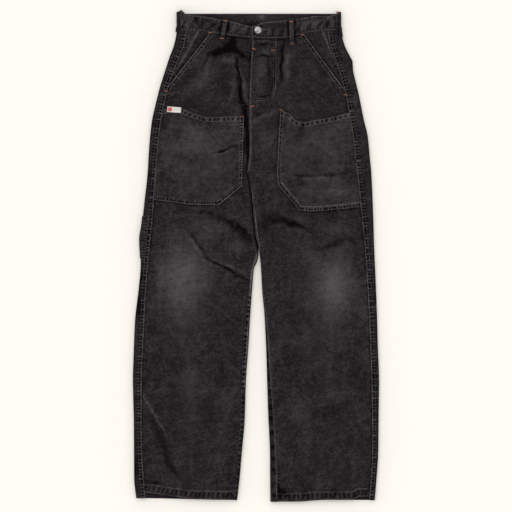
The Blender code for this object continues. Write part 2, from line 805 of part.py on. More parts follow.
def thigh_pocket(side, material):
    def face(x, y):
        return upper_face(side, x, y)

    grid = []
    for down in POCKET_ROWS:
        row = []
        for column in range(POCKET_COLUMNS + 1):
            across = column / POCKET_COLUMNS
            x, y = pocket_point(side, across, down)
            puff = POCKET_PUFF * math.sin(math.pi * across) * math.sin(math.pi * down) ** 0.5
            band = HEM_RISE if down < POCKET_HEM_SHARE else 0.0
            row.append(lifted(face, x, y, LIE_GAP + CLOTH + puff + band))
        grid.append(row)

    def depth(i, j):
        return CLOTH + (HEM_RISE if POCKET_ROWS[i] < POCKET_HEM_SHARE else 0.0)

    return wall_sided(f"thigh_pocket_{side}", grid, depth, material, side == "right")


def band_cover(x, y):
    """Height of the face that a belt loop lies on: the band, and below it the front panel."""
    side = "left" if x > FLY_EDGE else "right"
    panel = upper_face(side, x, min(y, waist_seam(x) - SEAM_GAP)).z
    share = smooth_step(waist_seam(x) - 8.0, waist_seam(x) - 2.0, y)
    return mix(panel, band_face(x), share)


def front_loop(side, material):
    """A strip across the band, from its top edge to just below its seam."""
    loop = FRONT_LOOPS[side]
    grid = []
    for share in FRONT_LOOP_ROWS:
        x_mid, y = mix(loop.top_x, loop.low_x, share), mix(loop.top_y, loop.low_y, share)
        rise = LIE_GAP + LOOP_CLOTH + LOOP_SLACK * math.sin(math.pi * share)
        z = band_cover(x_mid, y) + rise
        grid.append([Vector((x_mid + across * LOOP_WIDTH, y, z)) for across in FRONT_LOOP_COLUMNS])
    return wall(f"belt_loop_front_{side}", grid, LOOP_CLOTH, material)


def side_loop(side, material):
    """A strip across the band on the side fold, bent round it."""
    outward = OUTWARD[side]
    edge = BAND_SIDE_LEFT if side == "left" else BAND_SIDE_RIGHT
    high, low = SIDE_LOOPS[side]
    centre = edge - outward * FOLD_REACH
    grid = []
    seam = WAIST_SEAM_BACK + 3.0
    for y in (high, high - 5.0, mix(high, seam, 0.6), seam, mix(seam, low, 0.5), low):
        fold = edge if y > WAIST_SEAM_BACK + 4.0 else outer_fold[side](y) + outward * LIE_GAP
        middle = centre + max(0.0, abs(fold) - abs(edge)) * outward
        top = band_face(centre)
        stand = LIE_GAP + LOOP_CLOTH
        row = [Vector((middle - outward * SIDE_LOOP_TOP_RUN, y, top + stand))]
        for degrees in SIDE_LOOP_ANGLES:
            angle = math.radians(degrees)
            x = middle + outward * (FOLD_REACH + stand) * math.cos(angle)
            z = top / 2 + (top / 2 + stand) * math.sin(angle)
            row.append(Vector((x, y, z)))
        grid.append(row)
    return wall_sided(f"belt_loop_side_{side}", grid, LOOP_CLOTH, material, side == "left")


def side_tab(material):
    """A small woven tab on the hem of the right patch pocket."""
    def face(x, y):
        return upper_face("right", x, y)

    stand = LIE_GAP + CLOTH + HEM_RISE + POCKET_PUFF * 0.5 + SEAM_GAP + TAB_CLOTH
    grid = []
    for up in (0.5, 0.0, -0.5):
        row = []
        for across in (-0.5, -0.17, 0.17, 0.5):
            dx, dy = across * TAB_SIZE[0], up * TAB_SIZE[1]
            x = TAB_CENTRE[0] + dx * math.cos(TAB_TILT) - dy * math.sin(TAB_TILT)
            y = TAB_CENTRE[1] + dx * math.sin(TAB_TILT) + dy * math.cos(TAB_TILT)
            row.append(lifted(face, x, y, stand))
        grid.append(row)
    return wall("side_tab", grid, TAB_CLOTH, material)


def waist_button(material):
    """A turned metal button with a rim and a low dome, on the lapping end of the band."""
    x, y = BUTTON_CENTRE
    base = band_face(x) + fly_lift(x, WAIST_LEVEL, BAND_LAP_LIFT) + SEAM_GAP
    points = [Vector((x, y, base)), Vector((x, y, base + BUTTON_PROFILE[-1].height))]
    rings = BUTTON_PROFILE[1:-1]
    for ring in rings:
        for side in range(BUTTON_SIDES):
            angle = 2.0 * math.pi * side / BUTTON_SIDES
            offset = Vector((ring.radius * math.cos(angle), ring.radius * math.sin(angle), ring.height))
            points.append(Vector((x, y, base)) + offset)
    faces = []
    for side in range(BUTTON_SIDES):
        after = (side + 1) % BUTTON_SIDES
        faces.append([0, 2 + after, 2 + side])
        for ring in range(len(rings) - 1):
            low, high = 2 + ring * BUTTON_SIDES, 2 + (ring + 1) * BUTTON_SIDES
            faces.append([low + side, low + after, high + after, high + side])
        last = 2 + (len(rings) - 1) * BUTTON_SIDES
        faces.append([1, last + side, last + after])
    return make_object("waist_button", points, faces, material)


def build():
    clear_scene()
    canvas = make_material("black_canvas", BLACK_CANVAS, 0.9)
    facing = make_material("facing_canvas", FACING_CANVAS, 0.92)
    metal = make_material("button_metal", BUTTON_METAL, 0.3, 1.0)
    woven = make_material("tab_weave", TAB_WHITE, 0.8)
    for side in ("right", "left"):
        front_panel(side, canvas)
        back_panel(side, canvas)
        pocket_facing(side, facing)
        thigh_pocket(side, canvas)
        front_loop(side, canvas)
        side_loop(side, canvas)
    leg_tool_pocket(canvas)
    waistband(canvas)
    side_tab(woven)
    waist_button(metal)


build()
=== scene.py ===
"""Looks of the oversize work trousers, laid flat with the front up.

Sizes are in millimetres, in the frame of the solids: +Y from the hems to the waist, +X towards the
wearer's left, +Z up. Each cloth piece is a thin wall on the form of its solid, with the creases,
puckers and pale edges that the solid leaves out, and with painted shade and painted highlight in
its colour; the sewing lies on top of these walls.
"""

import logging
import math
from dataclasses import dataclass, field
from enum import Enum
from functools import cached_property
from typing import NamedTuple, Sequence

import bpy
import numpy as np
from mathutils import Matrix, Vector
from mathutils.bvhtree import BVHTree


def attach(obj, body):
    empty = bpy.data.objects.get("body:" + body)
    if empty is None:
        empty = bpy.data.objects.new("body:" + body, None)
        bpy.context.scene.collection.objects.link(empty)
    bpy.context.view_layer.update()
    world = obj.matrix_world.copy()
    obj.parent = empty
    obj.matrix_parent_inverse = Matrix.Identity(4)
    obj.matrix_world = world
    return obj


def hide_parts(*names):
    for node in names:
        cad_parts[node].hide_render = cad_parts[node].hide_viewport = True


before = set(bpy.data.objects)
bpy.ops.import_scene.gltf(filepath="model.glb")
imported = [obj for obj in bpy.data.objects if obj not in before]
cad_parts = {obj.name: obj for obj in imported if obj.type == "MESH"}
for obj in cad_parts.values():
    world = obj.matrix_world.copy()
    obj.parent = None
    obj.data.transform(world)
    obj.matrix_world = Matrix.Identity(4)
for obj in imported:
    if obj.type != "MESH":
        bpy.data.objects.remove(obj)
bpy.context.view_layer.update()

log = logging.getLogger("trousers")
MM = 0.001
Array = np.ndarray
Table = Sequence[tuple[float, ...]]
Colour = tuple[float, float, float, float]
Socket = bpy.types.NodeSocket
# A grid's x, y and z
Grid = tuple[Array, Array, Array]

# Cloth, gaps and heights, as in the solids
CLOTH = 1.2
BAND_CLOTH = 2.4
LOOP_CLOTH = 1.8
TAB_CLOTH = 1.0
SEAM_GAP = 0.3
LIE_GAP = 0.6
LAYER_TOP = 6.0
FOLD_REACH = 4.0
FULLNESS = 0.9
FELL_RISE = 0.7
HEM_WIDTH = 19.0
HEM_RISE = 0.8
WAIST_SEAM_BACK = 522.0
BACK_BAND_TOP = 557.0
WAIST_LEVEL = 518.0
WAIST_CURVE_END = 300.0
FULL_FROM = 420.0
FLY_END = 344.0
CROTCH = 193.0
FLY_EDGE = -9.0
UNDERLAP_END = 14.0
LAP_RUN_OUT = 36.0
LAP_LIFT = CLOTH + LIE_GAP
BAND_LAP_LIFT = BAND_CLOTH + LIE_GAP
BAND_SIDE_RIGHT = -180.5
BAND_SIDE_LEFT = 193.5
FOLD_EDGE_FADE = 22.0
CLOUD_CELLS = 64
INNER_COARSE = 4
# Where the points of a piece that nobody sees are put while its details are marked
HIDDEN = 1e5


class Leg(Enum):
    """The wearer's right or left leg."""

    RIGHT = "right"
    LEFT = "left"

    @property
    def outward(self) -> float:
        """Direction of this leg's outer side along X."""
        return -1.0 if self is Leg.RIGHT else 1.0

    def inward(self, distance: float) -> float:
        """An offset towards the garment's middle from a route that runs down along this leg."""
        return -self.outward * distance


HEM_LEVEL = {Leg.RIGHT: -561.0, Leg.LEFT: -565.0}
MOUTH = {
    Leg.RIGHT: ((-106.0, 513.0), (-210.0, 379.0)),
    Leg.LEFT: ((108.0, 513.0), (203.0, 383.0)),
}


# Rows of height, outer fold and outseam
OUTER_SIDES: dict[Leg, Table] = {
    Leg.RIGHT: (
        (560, -180, -165), (518, -182, -167), (485, -188, -172), (458, -198, -183),
        (425, -209, -196), (391, -220, -208), (344, -232, -219), (306, -240, -226),
        (244, -246, -233), (193, -249, -237), (129, -256, -242), (74, -262, -246),
        (37, -267, -250), (-14, -265, -255), (-78, -270, -260), (-147, -278, -264),
        (-216, -281, -267), (-285, -283, -270), (-377, -281, -270), (-451, -280.5, -269),
        (-515, -280, -265), (-565, -275, -261),
    ),
    Leg.LEFT: (
        (560, 193, 171), (518, 195, 172), (485, 203, 178), (458, 216, 187),
        (446, 222, 192), (428, 223, 198), (405, 228, 204), (368, 237, 214),
        (317, 247, 223), (274, 257, 230), (223, 262, 236), (193, 265, 240),
        (154, 267, 244), (74, 270, 252), (9, 272, 258), (-32, 274, 261),
        (-78, 276, 264), (-131, 278, 267), (-205, 280, 270), (-285, 283, 272.5),
        (-363, 282, 274), (-451, 281, 274.5), (-515, 277, 271), (-567, 273, 267),
    ),
}
# Rows of height, inner fold and inseam
INNER_SIDES: dict[Leg, Table] = {
    Leg.RIGHT: (
        (193, -20.2, -21.4), (154, -10.8, -15.0), (113, -6.6, -14.0),
        (74, -3.2, -13.0), (37, 2.2, -10.0), (14, 6.0, -6.5), (-9, 3.5, -7.5),
        (-30, -5.0, -12.0), (-78, -9.0, -18.0), (-147, -14.0, -26.0),
        (-216, -18.0, -31.0), (-285, -23.0, -34.0), (-377, -26.0, -37.0),
        (-446, -32.0, -42.0), (-515, -38.0, -47.0), (-565, -44.0, -52.0),
    ),
    Leg.LEFT: (
        (193, -19.8, -18.6), (154, -9.9, -7.5), (113, -5.8, -2.5),
        (74, -2.4, 2.0), (37, 3.0, 6.5), (9, 7.8, 11.0), (-32, 11.5, 15.0),
        (-78, 14.0, 18.0), (-131, 19.0, 24.0), (-205, 23.0, 30.0),
        (-285, 25.5, 35.0), (-363, 28.0, 41.0), (-451, 32.0, 46.0),
        (-515, 32.5, 48.0), (-567, 33.0, 49.0),
    ),
}
# Rows of height, centre seam and how deep it lies
CENTRE_SEAM: Table = (
    (560, -8.6, 0.0), (500, -9.0, 0.0), (440, -12.0, 0.0), (350, -15.0, 0.0),
    (324, -14.6, 0.2), (292, -14.5, 0.5), (239, -14.5, 0.7), (193, -20.0, 1.0),
)
# Rows of place across, waist seam and the band's top edge
FRONT_WAIST: Table = (
    (-182, 519, 557), (-172, 518, 565), (-161, 518, 556),
    (-129, 517, 552), (-94, 512, 546), (-48, 505, 537),
    (-9, 501, 528), (0, 500.5, 530), (9, 500, 535),
    (34, 500, 539), (67, 501, 542), (90, 506, 545),
    (113, 512, 548), (143, 516, 552), (163, 518, 551),
    (186, 518, 557), (195, 519, 558),
)


class Place(NamedTuple):
    """A point in plan."""

    x: float
    y: float


POCKET_EDGES = {
    Leg.RIGHT: {
        "top": ((-222, 337), (-172, 340), (-152, 331), (-117, 319), (-28, 321)),
        "bottom": ((-242, 130), (-150, 118), (-85, 117), (-32, 161)),
        "inner": ((-28, 321), (-32, 161)),
    },
    Leg.LEFT: {
        "top": (
            (56, 335), (78, 327), (91, 312), (108, 307), (152, 315), (224, 331),
        ),
        "bottom": ((51, 162), (100, 104), (127, 102), (160, 104), (200, 108), (246, 114)),
        "inner": ((56, 335), (48, 194), (51, 162)),
    },
}
POCKET_LEVELS = (325.0, 125.0)


def mix(a: Array | float, b: Array | float, share: Array | float) -> Array | float:
    """Returns the value a share of the way from a to b."""
    return a + (b - a) * share


def smooth_step(low: float, high: float, value: Array | float) -> Array | float:
    """Returns 0 at low and 1 at high, with a soft rise between them."""
    share = np.clip((np.asarray(value, float) - low) / (high - low), 0.0, 1.0)
    return share * share * (3.0 - 2.0 * share)


def bell(distance: Array | float, width: float) -> Array | float:
    """Returns a bell curve, 1 at no distance, that has faded at two widths."""
    return np.exp(-((np.asarray(distance, float) / width) ** 2))


def steps(count: int) -> Array:
    """Returns the shares of a way after each of its equal steps, as a row."""
    return np.arange(1, count + 1)[None, :] / count


def turned(x: Array, y: Array, degrees: float) -> tuple[Array, Array]:
    """Returns places as seen along two axes that are turned by an angle."""
    angle = math.radians(degrees)
    return x * math.cos(angle) + y * math.sin(angle), y * math.cos(angle) - x * math.sin(angle)


def cloud(x: Array, y: Array, scale: float, seed: int) -> Array:
    """Smooth uneven values for mottling and broken lines.

    Args:
        x: Places along the first axis, in millimetres.
        y: Places along the second axis.
        scale: Size of one cell of the pattern.
        seed: Picks the pattern.

    Returns:
        Values from 0 to 1, one for each place.
    """
    lattice = np.random.default_rng(seed).random((CLOUD_CELLS, CLOUD_CELLS))
    u, v = np.asarray(x, float) / scale, np.asarray(y, float) / scale
    i, j = np.floor(u).astype(int), np.floor(v).astype(int)
    a, b = u - i, v - j
    a, b = a * a * (3 - 2 * a), b * b * (3 - 2 * b)
    i0, i1, j0, j1 = (k % CLOUD_CELLS for k in (i, i + 1, j, j + 1))
    return mix(mix(lattice[i0, j0], lattice[i1, j0], a), mix(lattice[i0, j1], lattice[i1, j1], a), b)


class Curve:
    """A smooth line through table rows that never swings past them."""

    def __init__(self, rows: Table, column: int) -> None:
        """Reads a column of the table, by number, against its first one."""
        self.places, self.values = np.array(sorted((row[0], row[column]) for row in rows), float).T
        slopes = np.diff(self.values) / np.diff(self.places)
        before, after = slopes[:-1], slopes[1:]
        together = np.where(before * after > 0.0, before + after, 1.0)
        inner = np.where(before * after > 0.0, 2.0 * before * after / together, 0.0)
        self.tangents = np.concatenate([slopes[:1], inner, slopes[-1:]])

    def __call__(self, place: Array | float) -> Array:
        """Returns the line's values at the places."""
        at = np.clip(np.asarray(place, float), self.places[0], self.places[-1])
        i = np.clip(np.searchsorted(self.places, at, side="right") - 1, 0, len(self.places) - 2)
        step = self.places[i + 1] - self.places[i]
        t = (at - self.places[i]) / step
        return (
            (2 * t**3 - 3 * t**2 + 1) * self.values[i]
            + (t**3 - 2 * t**2 + t) * step * self.tangents[i]
            + (3 * t**2 - 2 * t**3) * self.values[i + 1]
            + (t**3 - t**2) * step * self.tangents[i + 1]
        )


class Route:
    """A line in plan that a seam, an edge or a crease follows."""

    CHUNK = 6000

    def __init__(self, points: Array | Sequence[Sequence[float]]) -> None:
        """Takes the line's points in order, in millimetres."""
        self.points = np.asarray(points, float)
        steps = np.diff(self.points, axis=0)
        self.lengths = np.hypot(steps[:, 0], steps[:, 1])
        self.starts = np.concatenate([[0.0], np.cumsum(self.lengths)])

    @classmethod
    def smooth(cls, *points: tuple[float, float], step: float = 4.0) -> "Route":
        """A smooth line through a few points.

        Args:
            points: The points, in order.
            step: Rough distance between the points of the finished line.

        Returns:
            The route.
        """
        knots = np.asarray(points, float)
        ends = np.concatenate([[2 * knots[0] - knots[1]], knots, [2 * knots[-1] - knots[-2]]])
        made = [knots[:1]]
        for a, b, c, d in zip(ends, ends[1:], ends[2:], ends[3:]):
            count = max(1, int(math.hypot(*(c - b)) / step))
            t = (np.arange(1, count + 1) / count)[:, None]
            swing = (2 * a - 5 * b + 4 * c - d) * t**2 + (3 * b - a - 3 * c + d) * t**3
            made.append(0.5 * (2 * b + (c - a) * t + swing))
        return cls(np.concatenate(made))

    @property
    def length(self) -> float:
        """The line's whole length."""
        return float(self.starts[-1])

    def locate(self, x: Array, y: Array, reach: float = 1e9) -> tuple[Array, Array]:
        """Finds where places lie beside the line.

        Args:
            x: The places' x.
            y: The places' y.
            reach: Places further away than this are left at a great distance.

        Returns:
            Distance along the line and distance across it, which is positive to its left.
        """
        flat_x, flat_y = np.ravel(x), np.ravel(y)
        along, across = np.zeros(flat_x.shape), np.full(flat_x.shape, 1e6)
        low, high = self.points.min(0) - reach, self.points.max(0) + reach
        near = (flat_x > low[0]) & (flat_x < high[0]) & (flat_y > low[1]) & (flat_y < high[1])
        where = np.flatnonzero(near)
        a, d = self.points[:-1], np.diff(self.points, axis=0)
        for first in range(0, len(where), self.CHUNK):
            part = where[first : first + self.CHUNK]
            px = flat_x[part, None] - a[None, :, 0]
            py = flat_y[part, None] - a[None, :, 1]
            t = np.clip((px * d[:, 0] + py * d[:, 1]) / self.lengths**2, 0.0, 1.0)
            gap = np.hypot(px - t * d[:, 0], py - t * d[:, 1])
            k = gap.argmin(1)
            rows = np.arange(len(part))
            turn = d[k, 0] * py[rows, k] - d[k, 1] * px[rows, k]
            along[part] = self.starts[k] + t[rows, k] * self.lengths[k]
            across[part] = np.where(turn < 0.0, -1.0, 1.0) * gap[rows, k]
        return along.reshape(np.shape(x)), across.reshape(np.shape(x))

    def at(self, along: Array) -> tuple[Array, Array]:
        """Returns the points and the unit headings at distances along the line."""
        k = np.clip(np.searchsorted(self.starts, along, side="right") - 1, 0, len(self.lengths) - 1)
        heading = np.diff(self.points, axis=0)[k] / self.lengths[k, None]
        return self.points[k] + heading * (along - self.starts[k])[:, None], heading

    def inside(self, along: Array, run: float) -> Array:
        """Returns 0 at the line's ends and 1 further in than a run, with a soft rise between them."""
        return smooth_step(0.0, run, along) * smooth_step(0.0, run, self.length - along)

    def beside(self, offset: float) -> "Route":
        """Returns the line moved to its left by an offset."""
        steps = np.gradient(self.points, axis=0)
        steps /= np.maximum(1e-6, np.hypot(steps[:, 0], steps[:, 1]))[:, None]
        left = np.stack([-steps[:, 1], steps[:, 0]], axis=1)
        return Route(self.points + left * offset)


@dataclass
class Marks:
    """What the details add at each point of a piece: height, wear with painted highlight, and painted shade.
    """

    lift: Array
    wear_and_highlight: Array
    painted_shade: Array

    @classmethod
    def blank(cls, shape: tuple[int, ...]) -> "Marks":
        """No marks yet, for a grid of this shape."""
        return cls(np.zeros(shape), np.zeros(shape), np.zeros(shape))

    def turned(self) -> "Marks":
        """Returns the marks with their columns in the other order."""
        return Marks(self.lift[:, ::-1], self.wear_and_highlight[:, ::-1], self.painted_shade[:, ::-1])

    def add(self, share: Array, lift: float, wear_and_highlight: float, painted_shade: float) -> None:
        """Adds height, wear with painted highlight, and painted shade, by a detail's share at each point."""
        self.lift += lift * share
        self.wear_and_highlight += wear_and_highlight * share
        self.painted_shade += painted_shade * share


@dataclass(frozen=True)
class Detail:
    """Something on the cloth: a crease, a patch, a pale or dark line or a row of dents, marked with wear,
    painted highlight and painted shade.
    """

    def mark(self, x: Array, y: Array, marks: Marks) -> None:
        """Adds the detail to a piece's marks.

        Args:
            x: The points' x.
            y: The points' y.
            marks: The marks that it adds to.
        """
        raise NotImplementedError


@dataclass(frozen=True)
class Crease(Detail):
    """A crease, ridge or soft swell along a curve through three points, with painted shade in a crease and
    wear with painted highlight on a ridge.
    """

    x0: float
    y0: float
    x1: float
    y1: float
    x2: float
    y2: float
    width: float
    rise: float
    painted_shade: float = 0.0
    wear_and_highlight: float = 0.0
    STEPS = 8
    RAGGED = ((6.0, 15.0), (2.5, 5.0))

    @property
    def route(self) -> Route:
        """The curve in plan."""
        t = (np.arange(self.STEPS + 1) / self.STEPS)[:, None]
        first, last = np.array((self.x0, self.y0)), np.array((self.x2, self.y2))
        control = 2 * np.array((self.x1, self.y1)) - (first + last) / 2
        return Route((1 - t) ** 2 * first + 2 * t * (1 - t) * control + t * t * last)

    def shape(self, x: Array, y: Array) -> Array:
        """Returns the share of the crease at each place, from 0 to 1."""
        route = self.route
        along, across = route.locate(x, y, 3.0 * self.width)
        taper = np.sin(math.pi * mix(0.12, 0.88, along / route.length))
        return taper * bell(across, self.width) * (np.abs(across) < 3.0 * self.width)

    def mark(self, x: Array, y: Array, marks: Marks) -> None:
        """Adds the crease, a little ragged."""
        (far, broad), (near, fine) = self.RAGGED
        sway_x = far * (cloud(x, y, broad, 201) - 0.5) + near * (cloud(x, y, fine, 202) - 0.5)
        sway_y = far * (cloud(x, y, broad, 203) - 0.5) + near * (cloud(x, y, fine, 204) - 0.5)
        share = self.shape(x + sway_x, y + sway_y) * mix(0.6, 1.15, cloud(x, y, 8.0, 205))
        marks.add(share, self.rise, self.wear_and_highlight, self.painted_shade)


@dataclass(frozen=True)
class Fade(Detail):
    """A patch paler with wear, or with a negative strength a dark patch of painted shade."""

    x: float
    y: float
    across: float
    along: float
    strength: float
    turn: float = 0.0

    def mark(self, x: Array, y: Array, marks: Marks) -> None:
        """Adds the patch."""
        u, v = turned(x - self.x, y - self.y, self.turn)
        share = np.exp(-((u / self.across) ** 2) - (v / self.along) ** 2)
        marks.add(share, 0.0, max(0.0, self.strength), max(0.0, -self.strength))


@dataclass(frozen=True)
class Rumple(Detail):
    """Faint streaks and wrinkles over a whole piece, longer one way than the other, with painted highlight on
    their rises and painted shade in their hollows.
    """

    length: float
    width: float
    turn: float
    lift: float
    wear_and_highlight: float
    painted_shade: float
    seed: int

    def mark(self, x: Array, y: Array, marks: Marks) -> None:
        """Adds the wrinkles."""
        u, v = turned(x, y, self.turn)
        sway = 14.0 * (cloud(x, y, 38.0, self.seed + 7) - 0.5)
        u, v = u / self.length, (v + sway) / self.width
        level = 0.65 * cloud(u, v, 1.0, self.seed) + 0.35 * cloud(u, v, 0.43, self.seed + 1)
        near = (np.abs(x) < HIDDEN / 10.0) * 1.0
        marks.lift += self.lift * 2.0 * (level - 0.5) * near
        marks.wear_and_highlight += self.wear_and_highlight * smooth_step(0.5, 0.85, level) * near
        marks.painted_shade += self.painted_shade * smooth_step(0.5, 0.15, level) * near


@dataclass(frozen=True)
class PaleOrDarkLine(Detail):
    """A line broken along its length: a fold or an edge made pale by wear and painted highlight, or a line of
    painted shade.
    """

    route: Route
    offset: float = 0.0
    width: float = 0.9
    wear_and_highlight: float = 0.0
    painted_shade: float = 0.0
    lift: float = 0.0
    even: float = 0.4
    seed: int = 1
    END_FADE = 4.0

    def mark(self, x: Array, y: Array, marks: Marks) -> None:
        """Adds the line."""
        along, across = self.route.locate(x, y, abs(self.offset) + 4.0 * self.width)
        level = cloud(along, along * 0.0, 7.0, self.seed)
        broken = mix(self.even, 1.0, smooth_step(0.25, 0.75, level))
        ends = self.route.inside(along, self.END_FADE)
        share = bell(across - self.offset, self.width) * broken * mix(0.3, 1.0, ends)
        marks.add(share, self.lift, self.wear_and_highlight, self.painted_shade)


@dataclass(frozen=True)
class Puckers(Detail):
    """The small dents that shrunken sewing pulls into a seam, with painted shade in them and pale cloth
    between them, from wear and painted highlight.

    The dents lie across the seam between two offsets from its route.
    """

    route: Route
    inner: float
    outer: float
    pitch: float = 6.3
    painted_shade: float = 0.75
    wear_and_highlight: float = 0.3
    lift: float = 0.35
    slant: float = 0.0
    seed: int = 1
    length: float = 1.25

    def mark(self, x: Array, y: Array, marks: Marks) -> None:
        """Adds the dents, uneven in place, strength, size and lean."""
        middle, half = (self.inner + self.outer) / 2, abs(self.outer - self.inner) / 2
        along, across = self.route.locate(x, y, max(abs(self.inner), abs(self.outer)) + 6.0)
        v = (across - middle) / half
        band = np.clip(1.25 - np.abs(v) ** 3, 0.0, 1.0) * (np.abs(v) < 1.6)
        count = int(self.route.length / self.pitch) + 4
        draw = np.random.default_rng(self.seed)
        jitter = draw.uniform(-0.17, 0.17, count) * self.pitch
        strength = draw.uniform(0.65, 1.0, count)
        size = draw.uniform(0.85, 1.35, count) * self.length
        lean = draw.uniform(-0.38, 0.38, count) + self.slant
        cell = np.floor(along / self.pitch).astype(int)
        dark = np.zeros(np.shape(x))
        for near in (-1, 0, 1):
            k = np.clip(cell + near, 0, count - 1)
            centre = (k + 0.5) * self.pitch + jitter[k] + lean[k] * v * half
            dark = np.maximum(dark, strength[k] * np.exp(-(((along - centre) / size[k]) ** 2)))
        ends = self.route.inside(along, 3.0)
        marks.painted_shade += self.painted_shade * dark * band * ends
        marks.wear_and_highlight += self.wear_and_highlight * np.clip(0.55 - dark, 0.0, 1.0) * band * ends
        marks.lift += self.lift * (0.4 - dark) * band * ends


# Creases and swells that the solids have too: three points, width and rise
MAIN_CREASES = (
    Crease(-47, 450, -38, 400, -25, 330, 5, -2.4),
    Crease(-35, 445, -27, 400, -17, 335, 9, 2.2),
    Crease(-100, 462, -70, 470, -56, 490, 7, -2.2),
    Crease(-92, 448, -62, 452, -40, 462, 10, 1.8),
    Crease(-85, 440, -104, 385, -128, 345, 22, 1.8),
    Crease(66, 492, 60, 460, 57, 405, 5, -2.2),
    Crease(80, 480, 74, 440, 70, 380, 14, 1.6),
    Crease(30, 330, 8, 312, -13, 300, 8, 1.2),
    Crease(-112, 96, -62, 82, -6, 24, 15, -2.6),
    Crease(-140, 62, -80, 50, -20, -10, 18, 1.8),
    Crease(-152, 55, -128, 20, -112, 0, 8, -2.0),
    Crease(-112, 0, -70, -28, -22, -58, 8, -2.0),
    Crease(26, 100, 75, 78, 130, 60, 13, -2.0),
    Crease(158, 44, 188, 32, 214, 22, 10, -1.8),
    Crease(60, 40, 120, 20, 190, -10, 24, 1.6),
    Crease(-248, -335, -236, -368, -216, -398, 8, -1.6),
    Crease(-215, -420, -198, -470, -166, -520, 12, -1.8),
    Crease(-120, -180, -90, -230, -50, -260, 20, -1.4),
    Crease(60, -250, 120, -300, 205, -330, 20, -1.4),
    Crease(90, -400, 150, -440, 235, -455, 18, -1.4),
    Crease(-130, 520, -158, 470, -192, 415, 6, 1.0),
)


class LaidForm:
    """The shape in which the trousers lie: folds, seams and the height of the upper layer."""

    def __init__(self) -> None:
        """Reads the tables into curves."""
        self.outer_fold = {leg: Curve(rows, 1) for leg, rows in OUTER_SIDES.items()}
        self.outseam = {leg: Curve(rows, 2) for leg, rows in OUTER_SIDES.items()}
        self.inner_fold = {leg: Curve(rows, 1) for leg, rows in INNER_SIDES.items()}
        self.inseam = {leg: Curve(rows, 2) for leg, rows in INNER_SIDES.items()}
        self.centre_seam = Curve(CENTRE_SEAM, 1)
        self.centre_groove = Curve(CENTRE_SEAM, 2)
        self.waist_seam = Curve(FRONT_WAIST, 1)
        self.band_top = Curve(FRONT_WAIST, 2)

    @staticmethod
    def roll_share(distance: Array) -> Array:
        """Returns the height over a fold, as a share of the layer's full height."""
        rest = 1.0 - np.clip(distance, 0.0, FOLD_REACH) / FOLD_REACH
        return 0.5 + 0.5 * np.sqrt(1.0 - rest * rest)

    @staticmethod
    def fly_lift(x: Array, y: Array, lift: float) -> Array:
        """Returns how far the left side rises where it lies over the right one."""
        across = 1.0 - smooth_step(UNDERLAP_END, LAP_RUN_OUT, x)
        return lift * across * smooth_step(FLY_END - 24.0, FLY_END - 4.0, y)

    def layer_height(self, leg: Leg, x: Array, y: Array) -> Array:
        """Full height of the upper layer, before it rolls down at a fold.

        Args:
            leg: The leg.
            x: Places across.
            y: Places along.

        Returns:
            Heights in millimetres.
        """
        x, y = np.broadcast_arrays(np.asarray(x, float), np.asarray(y, float))
        outer = self.outer_fold[leg](y)
        inner = np.where(y > CROTCH, self.centre_seam(y), self.inner_fold[leg](y))
        across = np.clip((x - inner) / (outer - inner), 0.0, 1.0)
        full = FULLNESS * np.sin(math.pi * across) * smooth_step(BACK_BAND_TOP, FULL_FROM, y)
        edge = np.where(y < CROTCH, np.minimum(abs(x - outer), abs(x - inner)), abs(x - outer))
        total = sum(crease.rise * crease.shape(x, y) for crease in MAIN_CREASES)
        return LAYER_TOP + full + total * smooth_step(0.0, FOLD_EDGE_FADE, edge)

    def upper_face(self, leg: Leg, x: Array, y: Array) -> Array:
        """Height of the upper layer's outer face.

        Args:
            leg: The leg.
            x: Places across.
            y: Places along.

        Returns:
            Heights in millimetres.
        """
        x, y = np.broadcast_arrays(np.asarray(x, float), np.asarray(y, float))
        height = self.layer_height(leg, x, y)
        if leg is Leg.LEFT:
            height = height + self.fly_lift(x, y, LAP_LIFT)
        height = height * self.roll_share(abs(x - self.outer_fold[leg](y)))
        inner = self.roll_share(abs(x - self.inner_fold[leg](y)))
        groove = 1.0 - self.centre_groove(y) * (1.0 - self.roll_share(abs(x - self.centre_seam(y))))
        return height * np.where(y < CROTCH, inner, groove)

    def band_face(self, x: Array) -> Array:
        """Returns the height of the band's outer face on top."""
        x = np.asarray(x, float)
        level = np.full(x.shape, WAIST_LEVEL)
        left = self.layer_height(Leg.LEFT, x, level)
        right = self.layer_height(Leg.RIGHT, x, level)
        return np.where(x > FLY_EDGE, left, right) + BAND_CLOTH - CLOTH

    def waist_shift(self, x: Array, height: Array, on_floor: float = 0.0) -> Array:
        """Moves rows near the waist so that the top row follows the band.

        Args:
            x: Places across.
            height: The rows' own heights.
            on_floor: 0 for the front's waist line, 1 for the back's.

        Returns:
            The rows' heights along the garment.
        """
        seam = mix(self.waist_seam(x), WAIST_SEAM_BACK, on_floor) - SEAM_GAP * (1.0 + on_floor)
        fade = np.clip((height - WAIST_CURVE_END) / (WAIST_LEVEL - WAIST_CURVE_END), 0.0, 1.0)
        return height + (seam - WAIST_LEVEL) * fade**2


FORM = LaidForm()


def y_route(curve: Curve, start: float, end: float, offset: float = 0.0, step: float = 12.0) -> Route:
    """A route along a curve of the form, from one height to another.

    Args:
        curve: The curve, as x over y.
        start: First height.
        end: Last height.
        offset: Moves the route along X.
        step: Distance between its points.

    Returns:
        The route.
    """
    y = np.linspace(start, end, max(2, int(abs(end - start) / step)))
    return Route(np.stack([curve(y) + offset, y], axis=1))


def leg_end(leg: Leg, x: Array) -> Array:
    """Returns how far both layers are drawn up at the leg's end, by place across."""
    return 4.4 * smooth_step(-60.0, -270.0, x) if leg is Leg.RIGHT else 4.0 * smooth_step(95.0, 150.0, x)


